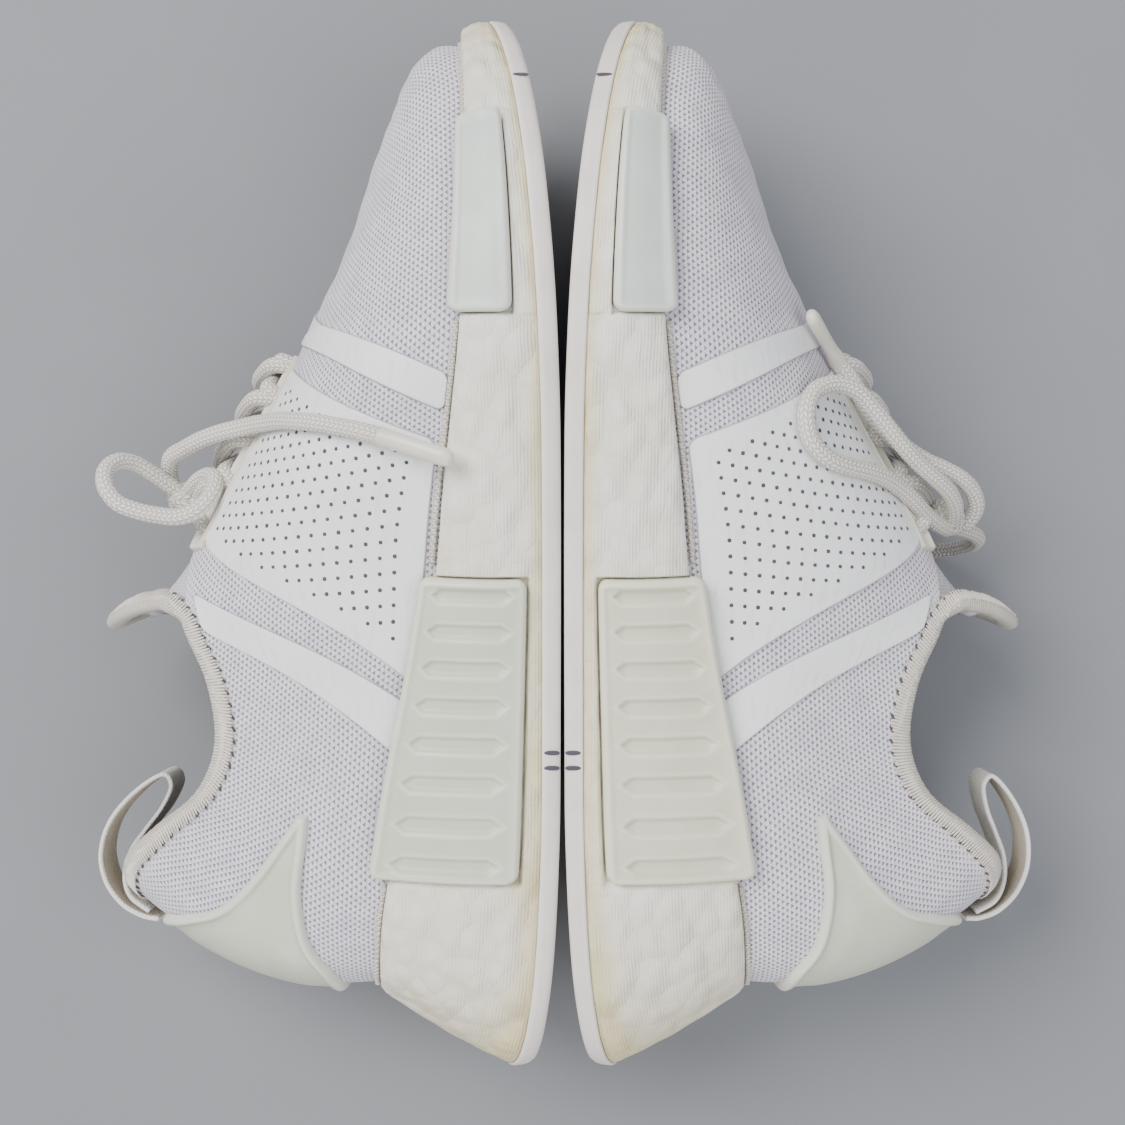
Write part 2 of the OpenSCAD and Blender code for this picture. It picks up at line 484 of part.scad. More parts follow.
// Stiffener under the knit at the toe
module toe_puff() {
    stations = [15, 15.7, 16.4, 17.2, LAST];
    turns = concat(stations, [for (i = [len(stations) - 2:-1:0]) 2 * LAST - stations[i]]);
    grid = function(d) [for (q = turns) [for (t = [0.06, 0.3, 0.55, 0.8])
        skin(q > LAST ? MEDIAL : LATERAL, q > LAST ? 2 * LAST - q : q, t, d)]];
    color("#c9c4b8") shell(grid(-knit_thick - 0.05), grid(-knit_thick - 0.9));
}

// Webbing loop: one strip that leaves the heel seam, turns and comes back on itself
module pull_tab(stance) {
    lean = stance[0];
    path = [for (p = concat(TAB_OUTER, [TAB_TIP], TAB_INNER))
        let (v = fit([0, p[0] - TAB_HINGE[0], (p[1] - TAB_HINGE[1]) * stance[1]]))
        [v[1] * cos(lean) - v[2] * sin(lean), v[1] * sin(lean) + v[2] * cos(lean)]];
    n = len(path);
    out_dir = function(i)
        let (d = unit(path[min(i + 1, n - 1)] - path[max(i - 1, 0)]))
        [-d[1], d[0]];
    grid = function(w) [for (i = [0:n - 1])
        let (p = path[i], q = p - out_dir(i) * TAB_THICK)
        [[w, p[0], p[1]], [w, q[0], q[1]]]];
    color("#e4e1d6") translate(fit([0, TAB_HINGE[0], TAB_HINGE[1]]))
        shell(grid(-tab_width / 2), grid(tab_width / 2));
}

// Point of an eyelet, lift above the face of the knit
function eyelet(side, row, lift) = skin(side, EYELETS[row], 0.945, lift);
// The laced stretch: a bar at the front, then legs that cross over and under up to the knot
module lace_crossings() {
    lift = lace_d / 2 + 1.3;
    over = lace_d * 1.25;
    leg = function(a_side, a_row, b_side, b_row, rise)
        let (a = eyelet(a_side, a_row, lift), b = eyelet(b_side, b_row, lift))
        concat([eyelet(a_side, a_row, -0.6)],
            [for (u = [0.12, 0.32, 0.5, 0.68, 0.88]) lerp(a, b, u) + [0, 0, rise * sin(180 * u)]],
            [eyelet(b_side, b_row, -0.6)]);
    color("#eceae3") {
        tube(leg(MEDIAL, 0, LATERAL, 0, 1.5), lace_d);
        for (row = [0:len(EYELETS) - 2], side = [MEDIAL, LATERAL])
            tube(leg(side, row, -side, row + 1, side > 0 ? over + 1 : 1), lace_d);
    }
}
module lace_knot(k) color("#eceae3") translate(fit(KNOT[k])) sphere(d = KNOT_D, $fn = 32);
module lace(route) color("#eceae3") tube(fit_all(route), lace_d);
// Plastic tip that starts where a lace stops and points at tip
module aglet(route, tip) {
    ends = fit_all([route[len(route) - 1], tip]);
    color("#dedbd0") bar(ends[0], ends[0] + unit(ends[1] - ends[0]) * aglet_length, lace_d + 0.2);
}

// Puts a shoe into the row frame, the left one as the mirror image of the right one
module place(side) {
    mirror([side == "left" ? 1 : 0, 0, 0])
        translate([-sole_gap / 2, -shoe_length / 2, INNER_REACH * SCALE[0]])
            rotate([0, -90, 0]) children();
}

module piece(name, side) {
    k = side == "left" ? 1 : 0;
    if (name == "outsole") outsole();
    if (name == "midsole") midsole();
    if (name == "lateral_front_plug") plug(LATERAL, LATERAL_FRONT_PLUG, 6);
    if (name == "lateral_rear_plug") plug(LATERAL, LATERAL_REAR_PLUG, 8);
    if (name == "medial_front_plug") plug(MEDIAL, MEDIAL_FRONT_PLUG, 5);
    if (name == "medial_rear_plug") plug(MEDIAL, MEDIAL_REAR_PLUG, 8);
    if (name == "strobel_board") strobel_board();
    if (name == "insole") insole();
    if (name == "upper") upper();
    if (name == "collar_lining") collar_lining();
    if (name == "collar_binding") collar_binding();
    if (name == "tongue") tongue();
    if (name == "lateral_eyestay") eyestay(LATERAL);
    if (name == "medial_eyestay") eyestay(MEDIAL);
    if (name == "toe_band") toe_band();
    if (name == "lateral_saddle") saddle(LATERAL);
    if (name == "medial_saddle") saddle(MEDIAL);
    if (name == "lateral_heel_band") heel_band(LATERAL);
    if (name == "medial_heel_band") heel_band(MEDIAL);
    if (name == "heel_cap") heel_cap();
    if (name == "toe_puff") toe_puff();
    if (name == "pull_tab") pull_tab(TAB_STANCE[k]);
    if (name == "lace_crossings") lace_crossings();
    if (name == "lace_knot") lace_knot(k);
    if (name == "lace_loop") lace(LACE_LOOP[k]);
    if (name == "lateral_lace_end") lace(LATERAL_LACE[k]);
    if (name == "medial_lace_end") lace(MEDIAL_LACE[k]);
    if (name == "lateral_aglet") aglet(LATERAL_LACE[k], LATERAL_TIP[k]);
    if (name == "medial_aglet") aglet(MEDIAL_LACE[k], MEDIAL_TIP[k]);
}

for (side = SIDES, name = PIECES)
    place(side) piece(name, side);
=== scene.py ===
"""Looks of a pair of knitted sock-fit running shoes that lie on their inner sides, sole to sole."""

import json
import logging
import math
from dataclasses import dataclass, field
from enum import Enum
from typing import Any, Callable, Optional, Sequence

import bpy
import numpy as np
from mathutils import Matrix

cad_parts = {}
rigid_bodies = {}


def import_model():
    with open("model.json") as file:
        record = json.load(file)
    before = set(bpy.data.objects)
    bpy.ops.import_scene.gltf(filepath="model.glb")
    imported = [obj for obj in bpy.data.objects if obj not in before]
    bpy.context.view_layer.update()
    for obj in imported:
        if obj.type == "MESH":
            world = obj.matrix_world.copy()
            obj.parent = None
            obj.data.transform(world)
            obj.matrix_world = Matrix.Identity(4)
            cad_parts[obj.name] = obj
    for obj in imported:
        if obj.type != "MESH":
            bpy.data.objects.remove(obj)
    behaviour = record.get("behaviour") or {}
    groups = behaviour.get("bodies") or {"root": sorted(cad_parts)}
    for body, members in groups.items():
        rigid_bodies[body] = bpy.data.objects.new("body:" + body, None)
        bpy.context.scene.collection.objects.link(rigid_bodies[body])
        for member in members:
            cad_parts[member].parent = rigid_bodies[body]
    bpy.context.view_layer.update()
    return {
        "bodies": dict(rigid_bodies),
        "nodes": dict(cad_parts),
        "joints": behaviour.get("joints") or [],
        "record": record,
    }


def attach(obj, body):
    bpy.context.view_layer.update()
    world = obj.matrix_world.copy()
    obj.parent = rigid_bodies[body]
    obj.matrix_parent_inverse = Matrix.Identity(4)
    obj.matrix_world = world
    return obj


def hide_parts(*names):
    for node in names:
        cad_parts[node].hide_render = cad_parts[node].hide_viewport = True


LOG = logging.getLogger("running_shoes")
MM = 0.001
LAST = 18.0
THROAT = 12.0
LATERAL = 1
MEDIAL = -1
KNIT = 1.8
LINING = 2.2
FILM = 0.8
CAP = 2.4
LACE_D = 4.8
AGLET_LENGTH = 21.0
TAB_WIDTH = 15.0
OUTSOLE_WALL = 5.0

FOOT_LINE = [
    [-1, 28.5, -14, 28.5, 14], [0, 26.5, 0, 26.5, 0], [1, 28.5, 14, 28.5, -14], [2, 37, 25.5, 37, -26],
    [3, 53, 32.3, 52, -33], [4, 73, 35.3, 71, -34], [5, 94, 37.2, 91, -32], [6, 114, 39.5, 110, -28.5],
    [7, 133, 42.3, 129, -25.5], [8, 151, 45.6, 147, -24], [9, 168, 49.3, 165, -24.5],
    [10, 184, 53, 182, -27.5],
    [11, 199, 56.2, 198, -31.5], [12, 213, 58.4, 213, -33.7], [13, 229, 59.3, 229, -34],
    [14, 247, 57, 246, -31.5],
    [15, 264, 50.3, 262, -25.5], [16, 279, 38.5, 277, -15.5], [17, 289, 24, 288.5, -4],
    [18, 292.5, 9.5, 292.5, 9.5],
    [19, 289, -4, 288.5, 24]]
TOP_LINE = [
    [-1, 55, 0, -10.5, 123], [0, 52, 0, 0, 121.5], [1, 55, 0, 10.5, 123], [2, 63, 0, 18.5, 121],
    [3, 73, 0, 23.5, 110.5], [4, 83, 0, 26.5, 98.5], [5, 97, 0, 28, 93], [6, 114, 0, 28, 95.5],
    [7, 131, 0, 24.5, 103.5], [8, 147, 0, 16.5, 104.5], [9, 165, 0, 14.5, 96], [10, 183, 0.6, 13, 86],
    [11, 199, 1.2, 9.5, 78], [12, 209, 2, 0, 73.5]]
RIDGE_LINE = [
    [11, 196, 1, 0, 80], [12, 209, 2, 0, 73.5], [13, 225, 4, 0, 66], [14, 243, 6, 0, 58],
    [15, 258, 8, 0, 52.5],
    [16, 267, 9, 0, 49.5], [17, 269.6, 9.4, 0, 48.6], [18, 270, 9.5, 0, 48.5], [19, 269.6, 9.4, 0, 48.6]]
RIB = [
    [0, 3.5, 0.38, 0.8, 22], [2, 3.5, 0.37, 0.6, 22], [3, 3.5, 0.36, 0.4, 22], [4, 3.5, 0.35, 0.3, 18],
    [5, 4, 0.35, 0.25, 17], [6, 4, 0.37, 0.3, 17], [7, 4, 0.4, 0.35, 15], [8, 4, 0.44, 0.5, 9],
    [9, 4, 0.46, 0.54, 7], [10, 4, 0.47, 0.55, 6], [11, 3.6, 0.47, 0.56, 4], [12, 3.6, 0.46, 0.56, 0],
    [14, 3.4, 0.5, 0.56, 0], [16, 3.4, 0.58, 0.6, 0], [18, 3.4, 0.6, 0.62, 0]]
CROWN = [
    [0, 0, -0.7, 0.7], [1, 0.35, -0.65, 0.68], [2, 0.7, -0.35, 0.6], [3, 0.9, -0.05, 0.4], [4, 0.95, 0, 0.3],
    [6, 0.95, 0, 0.3], [7, 0.85, 0.15, 0.45], [8, 0.6, 0.4, 0.66], [9, 0.42, 0.46, 0.78],
    [10, 0.36, 0.45, 0.82],
    [11, 0.24, 0.45, 0.86], [12, 0, 0.44, 0.9], [14, 0, 0.37, 0.93], [16, 0, 0.3, 0.95], [18, 0, 0.28, 0.96]]
WALL = [
    [0, 26, 2.5, 1.5], [1, 21, 3, 1.5], [2, 13, 3.5, 2], [3, 8.5, 4, 2], [4, 7, 4.2, 2], [6, 6, 4.4, 2],
    [10, 6, 4.4, 2], [14, 6, 4.2, 1.8], [16, 6, 4.2, 1.5], [18, 7, 4.6, 1]]
GROUND = [
    [-20, 14], [0, 10.5], [8, 7], [20, 4.2], [40, 1.8], [70, 0.3], [95, 0], [180, 0], [211, 1], [231, 2.4],
    [252, 4.6], [272, 7.8], [285, 10.8], [292, 13], [300, 16], [320, 25]]
RIM = [
    [20, 52], [33, 50], [50, 48.3], [66, 45.6], [90, 41.8], [120, 36.4], [145, 32.6], [165, 30.6],
    [185, 28.2],
    [209, 25.6], [240, 24.4], [265, 25], [285, 27], [297, 29]]
BED = [
    [20, 33], [60, 31], [100, 28], [145, 24.5], [185, 22], [210, 20.2], [240, 19.8], [265, 21], [285, 23.6],
    [297, 26]]
TONGUE = [
    [-221, 65.4, 15, 3], [-209, 71.6, 18, 4.5], [-196, 79, 21, 7], [-180, 88.5, 23, 10.5],
    [-163, 99.5, 24, 14],
    [-150, 108, 24, 16], [-141, 114, 22.5, 12], [-135, 120, 18, 7.5], [-131.5, 126, 12.5, 3.5],
    [-129.5, 130, 7, 1.2]]
LIP = [[7.6, 20.5, 136, 109.5], [8.4, 14.5, 134.5, 119], [9.2, 7.5, 131.5, 126.5], [10, 0, 129.5, 129.5]]
HEEL_CAP = [
    [0, 0.13, 0.87], [1, 0.14, 0.84], [1.7, 0.18, 0.74], [2.3, 0.27, 0.63], [3, 0.36, 0.57],
    [3.6, 0.41, 0.54],
    [4.1, 0.45, 0.5]]
PLUGS = {
    "lateral_front_plug": (LATERAL, 11.8, 14.75, 0.3, 1.18),
    "lateral_rear_plug": (LATERAL, 3.45, 7.6, 0.12, 1.14),
    "medial_front_plug": (MEDIAL, 13.9, 16.2, 0.3, 1.12), "medial_rear_plug": (MEDIAL, 4.6, 8.6, 0.16, 1.1)}
TOE_BAND = [[10.1, 0.03], [10.75, 0.03], [12.75, 1], [12.1, 1]]
SADDLE = [[6, 0.04], [9.65, 0.04], [11.15, 0.86], [8.35, 0.9]]
HEEL_BAND = [[5.0, 0.05], [5.75, 0.05], [7.45, 0.92], [6.8, 0.92]]
EYESTAY = [[8.15, 0.87], [11.5, 0.87], [11.5, 0.995], [8.15, 0.995]]
EYELETS = [11.3, 10.6, 9.9, 9.2, 8.5]
TAB_PATH = [
    [43.3, 116], [44.3, 120.8], [47.8, 126.8], [54.4, 131.6], [63, 133.2], [72.5, 130.4], [81, 123.2],
    [86.2, 114.8], [82.6, 111.6], [76, 114.2], [69.5, 119], [63.5, 123.2], [57, 125], [51, 123.6],
    [46.7, 118.2]]
TAB_HINGE = [45.1, 117]
TAB_STANCE = [(0, 1), (12, 0.85)]
KNOT = [[2, 164.5, 108.5], [3, 160, 111]]
LATERAL_LACE = [
    [[1.2, 167.5, 113], [2.8, 172.6, 113.8], [7, 177, 112.2], [11.6, 179.2, 107.2], [15.8, 181.2, 102],
     [19.6, 182.8, 96.2], [23.2, 183.8, 90.4], [27.4, 184.6, 84.6], [32.4, 184.8, 79.6], [37.8, 184.8, 75.2],
     [42.8, 184.2, 70.2], [47, 183.4, 64.6], [50.6, 182.2, 58.6], [53.8, 180.8, 52.4], [55.4, 179.2, 46.6]],
    [[4, 157.6, 116.4], [7.8, 162.2, 118.4], [11.8, 166.8, 116.6], [15.2, 170.2, 112.6], [17.6, 172.8, 107.2],
     [19.4, 175, 101.6], [21, 178, 96.2], [22, 182, 91.2], [22.6, 186.4, 86.8], [23.2, 191.4, 83],
     [24.2, 196.8, 79.8], [25.4, 201.8, 75.8]]]
LATERAL_TIP = [[61.6, 172.6, 27], [46.4, 218.2, 61.2]]
MEDIAL_LACE = [
    [[-3, 166, 110.4], [-9.6, 168, 112.4], [-16.8, 168.8, 112], [-23.6, 168.8, 109.8], [-29.8, 167.8, 106.2],
     [-34.2, 166.2, 100.8], [-37, 164, 94.4], [-37.8, 162, 87.6], [-37.8, 160.4, 80.6], [-37.8, 159, 73.6],
     [-37.8, 158.3, 68.6]],
    [[0, 157, 114.4], [-5.6, 155.6, 120.4], [-11.6, 154, 124], [-18.6, 152.4, 124.4], [-25.2, 151.2, 121.8],
     [-30.6, 150.6, 117.4], [-35, 150.4, 111.6], [-37.4, 150.6, 104.8], [-37.8, 151.2, 97.6],
     [-37.8, 151.6, 90.4]]]
MEDIAL_TIP = [[-37.8, 156, 48], [-37.8, 152.4, 70]]
LACE_LOOP = [
    [[4, 166, 109], [6, 169.2, 113.4], [8.6, 172.4, 117.6], [11.8, 175, 121.6], [16.2, 175.2, 125.2],
     [20.6, 172.2, 127.2], [23.8, 167.6, 126.2], [24.6, 163.2, 122.6], [24.2, 161, 117.4],
     [23.8, 159.8, 111.8],
     [24.2, 159.4, 106], [24.4, 161.4, 100.6], [22.6, 165.6, 97.2], [18.6, 169.8, 97], [14, 171.4, 99.8],
     [9.8, 170.2, 103.6], [6, 167.6, 107]],
    [[6.4, 158.4, 112.4], [12.6, 162.4, 111.2], [18.2, 166.4, 108.2], [22.8, 170, 103.4], [26.6, 173.6, 98.2],
     [30.2, 177.8, 93.2], [33.2, 182.6, 88.4], [35.6, 187.8, 83.6], [38.2, 192.6, 78.4], [41, 194.2, 72],
     [44.6, 191.8, 66], [47.6, 185.8, 63.4], [47.4, 178.6, 64.8], [44.8, 174, 69.8], [41, 172.2, 75.8],
     [36.4, 171.2, 81.8], [31.6, 169.8, 87.2], [26.6, 167.4, 92.2], [22, 164.2, 97], [16.8, 160.8, 101.4],
     [11.6, 158, 105.8], [6, 156.4, 110.4]]]


class Foot(Enum):
    """Which shoe of the pair, as its index in the tables."""

    RIGHT = 0
    LEFT = 1

    @property
    def word(self) -> str:
        """The node prefix of the shoe."""
        return "right" if self is Foot.RIGHT else "left"

    def world(self, points: np.ndarray) -> np.ndarray:
        """Turns shoe points in millimetres into row points in metres.

        Args:
            points: array whose last axis is x, y, z in the shoe's own frame.

        Returns:
            The same array in the row frame.
        """
        sign = -1.0 if self is Foot.RIGHT else 1.0
        x, y, z = points[..., 0], points[..., 1], points[..., 2]
        return np.stack([sign * (z + 0.5), y - 150.0, x + 40.5], axis=-1) * MM


def unit(v: np.ndarray) -> np.ndarray:
    """Vectors scaled to length one along the last axis."""
    return v / np.maximum(np.linalg.norm(v, axis=-1, keepdims=True), 1e-12)


class Track:
    """A smooth curve through the rows of a table, read at keys."""

    def __init__(self, table: Sequence[Sequence[float]]) -> None:
        """Keeps the rows and works out the slope at each."""
        self.rows = np.array(table, float)
        key = self.rows[:, 0]
        n = len(key)
        low, high = np.maximum(np.arange(n) - 1, 0), np.minimum(np.arange(n) + 1, n - 1)
        self.slopes = (self.rows[high] - self.rows[low]) / (key[high] - key[low])[:, None]

    def __call__(self, k: np.ndarray) -> np.ndarray:
        """Rows at the keys k, with the table's columns on a new last axis."""
        k = np.asarray(k, float)
        key = self.rows[:, 0]
        i = np.clip(np.searchsorted(key, k, side="right") - 1, 0, len(key) - 2)
        d = (key[i + 1] - key[i])[..., None]
        u = (k[..., None] - key[i][..., None]) / d
        return (self.rows[i] * (2 * u ** 3 - 3 * u ** 2 + 1) + self.slopes[i] * d * (u ** 3 - 2 * u ** 2 + u)
                + self.rows[i + 1] * (3 * u ** 2 - 2 * u ** 3) + self.slopes[i + 1] * d * (u ** 3 - u ** 2))


class LastForm:
    """The shapes that every piece of a shoe is cut on, in millimetres in the shoe's frame.

    A signed station q runs from the heel's centre (0) to the toe's centre (18) on the outer side, and to -18 inside.
    """

    foot_line, top_line, ridge_line = Track(FOOT_LINE), Track(TOP_LINE), Track(RIDGE_LINE)
    rib, crown_line, wall_line = Track(RIB), Track(CROWN), Track(WALL)
    ground_line, rim_line, bed_line, tongue_line = Track(GROUND), Track(RIM), Track(BED), Track(TONGUE)
    lip_line, cap_line = Track(LIP), Track(HEEL_CAP)

    @staticmethod
    def side(q: np.ndarray) -> np.ndarray:
        """1 on the outer side and -1 on the inner side."""
        return np.where(np.asarray(q) < 0, -1.0, 1.0)

    def plan(self, q: np.ndarray) -> np.ndarray:
        """Foot line in plan at signed stations."""
        r = self.foot_line(np.abs(q))
        lateral = (self.side(q) > 0)[..., None]
        return np.where(lateral, r[..., [2, 1]], r[..., [4, 3]])

    def outward(self, q: np.ndarray) -> np.ndarray:
        """Horizontal outward direction of the foot line."""
        q = np.asarray(q, float)
        side = self.side(q)
        s = np.abs(q)
        r1, r0 = self.foot_line(s + 0.05), self.foot_line(s - 0.05)
        lateral = (side > 0)[..., None]
        d = unit(np.where(lateral, r1[..., [2, 1]] - r0[..., [2, 1]], r1[..., [4, 3]] - r0[..., [4, 3]]))
        n = side[..., None] * np.stack([d[..., 1], -d[..., 0]], -1)
        n = np.where((s < 1e-6)[..., None], np.array([0.0, -1.0]), n)
        return np.where((s > LAST - 1e-6)[..., None], np.array([0.0, 1.0]), n)

    def rim(self, y: np.ndarray) -> np.ndarray:
        """Height of the foam's rim."""
        return self.rim_line(y)[..., 1]

    def bed(self, y: np.ndarray) -> np.ndarray:
        """Height of the foot bed."""
        return self.bed_line(y)[..., 1]

    def ground(self, y: np.ndarray) -> np.ndarray:
        """Height of the tread line."""
        return self.ground_line(y)[..., 1]

    def crown(self, q: np.ndarray) -> np.ndarray:
        """Direction of the surface along the top line."""
        s = np.abs(q)
        r = self.crown_line(s)
        x = self.side(q) * np.where((s < 1e-6) | (s >= THROAT), 0.0, r[..., 1])
        return unit(np.stack([x, r[..., 2], r[..., 3]], -1))

    def skin(self, q: np.ndarray, t: np.ndarray, d: Any = 0.0) -> np.ndarray:
        """Points of the upper.

        Args:
            q: signed stations.
            t: shares of the rib from the foam (0) to the top line (1).
            d: distance outside the knitted face.

        Returns:
            The points, x, y and z on the last axis.
        """
        q, t, d = np.broadcast_arrays(np.asarray(q, float), np.asarray(t, float), np.asarray(d, float))
        s, side = np.abs(q), self.side(q)
        p = self.plan(q)
        a = np.concatenate([p, (self.rim(p[..., 1]) - 0.6)[..., None]], -1)
        r = np.where((s < THROAT)[..., None], self.top_line(s), self.ridge_line(s))
        b = np.stack([r[..., 2] + side * np.maximum(r[..., 3], 0), r[..., 1], r[..., 4]], -1)
        rib, n = self.rib(s), self.outward(q)
        pull = (a - b) * rib[..., 3:4]
        k = np.minimum(s, 16.2)
        r1, r0 = self.ridge_line(k + 0.1), self.ridge_line(k - 0.1)
        fall = np.where(s < THROAT, -rib[..., 4],
                        (r1[..., 4] - r0[..., 4]) / (r1[..., 1] - r0[..., 1]) * pull[..., 1])
        n3 = np.concatenate([n, np.zeros(n.shape[:-1] + (1,))], -1)
        c1 = a + n3 * rib[..., 1:2]
        c1[..., 2] += (b[..., 2] - a[..., 2]) * rib[..., 2]
        c2 = b + np.stack([pull[..., 0], pull[..., 1], fall], -1)
        u = t[..., None]
        face = unit(n3 * (1 - u) + self.crown(q) * u)
        return a * (1 - u) ** 3 + c1 * 3 * u * (1 - u) ** 2 + c2 * 3 * u * u * (1 - u) + b * u ** 3 + face * d[..., None]

    def wall(self, q: np.ndarray, t: np.ndarray, d: Any = 0.0) -> np.ndarray:
        """Points of the foam's side wall at shares t of its height; past 1 they climb the knit.

        Args:
            q: signed stations.
            t: shares of the height.
            d: distance outside the foam.

        Returns:
            The points.
        """
        q, t, d = np.broadcast_arrays(np.asarray(q, float), np.asarray(t, float), np.asarray(d, float))
        w, p, n = self.wall_line(np.abs(q)), self.plan(q), self.outward(q)
        u = np.minimum(t, 1)
        low = self.ground(p[..., 1] + n[..., 1] * w[..., 1]) + OUTSOLE_WALL
        high = self.rim(p[..., 1])
        o = w[..., 1] * (1 - u) + w[..., 2] * u + w[..., 3] * np.sin(np.pi * u) + d - np.maximum(t - 1, 0) * 6
        xy = p + n * o[..., None]
        return np.concatenate([xy, (low + (high - low) * t)[..., None]], -1)


FORM = LastForm()


def rested(p: np.ndarray) -> np.ndarray:
    """Points kept off the floor that the shoe lies on."""
    p = p.copy()
    p[..., 0] = np.maximum(p[..., 0], -40.5)
    return p


def spline(points: Sequence[Sequence[float]], step: float = 0.8) -> np.ndarray:
    """A smooth line through points, sampled about every step.

    Args:
        points: points that the line passes through.
        step: spacing of the samples.

    Returns:
        The samples, evenly spaced.
    """
    p = np.array(points, float)
    p = np.vstack([2 * p[0] - p[1], p, 2 * p[-1] - p[-2]])
    u = np.linspace(0, 1, 16, endpoint=False)[:, None]
    parts = [0.5 * (2 * p[i] + (p[i + 1] - p[i - 1]) * u
                    + (2 * p[i - 1] - 5 * p[i] + 4 * p[i + 1] - p[i + 2]) * u ** 2
                    + (3 * p[i] - p[i - 1] - 3 * p[i + 1] + p[i + 2]) * u ** 3) for i in range(1, len(p) - 2)]
    line = np.vstack(parts + [p[-2:-1]])
    arc = np.r_[0, np.cumsum(np.linalg.norm(np.diff(line, axis=0), axis=1))]
    at = np.linspace(0, arc[-1], max(int(arc[-1] / step), 4) + 1)
    return np.stack([np.interp(at, arc, line[:, k]) for k in range(3)], -1)


def smooth(x: np.ndarray, low: float, high: float) -> np.ndarray:
    """A soft step from 0 at low to 1 at high."""
    u = np.clip((x - low) / (high - low), 0, 1)
    return u * u * (3 - 2 * u)


def arc_lengths(grid: np.ndarray, axis: int) -> np.ndarray:
    """Running length along one axis of a grid of points."""
    step = np.linalg.norm(np.diff(grid, axis=axis), axis=-1)
    zero = np.zeros_like(np.take(step, [0], axis=axis))
    return np.concatenate([zero, np.cumsum(step, axis=axis)], axis=axis)


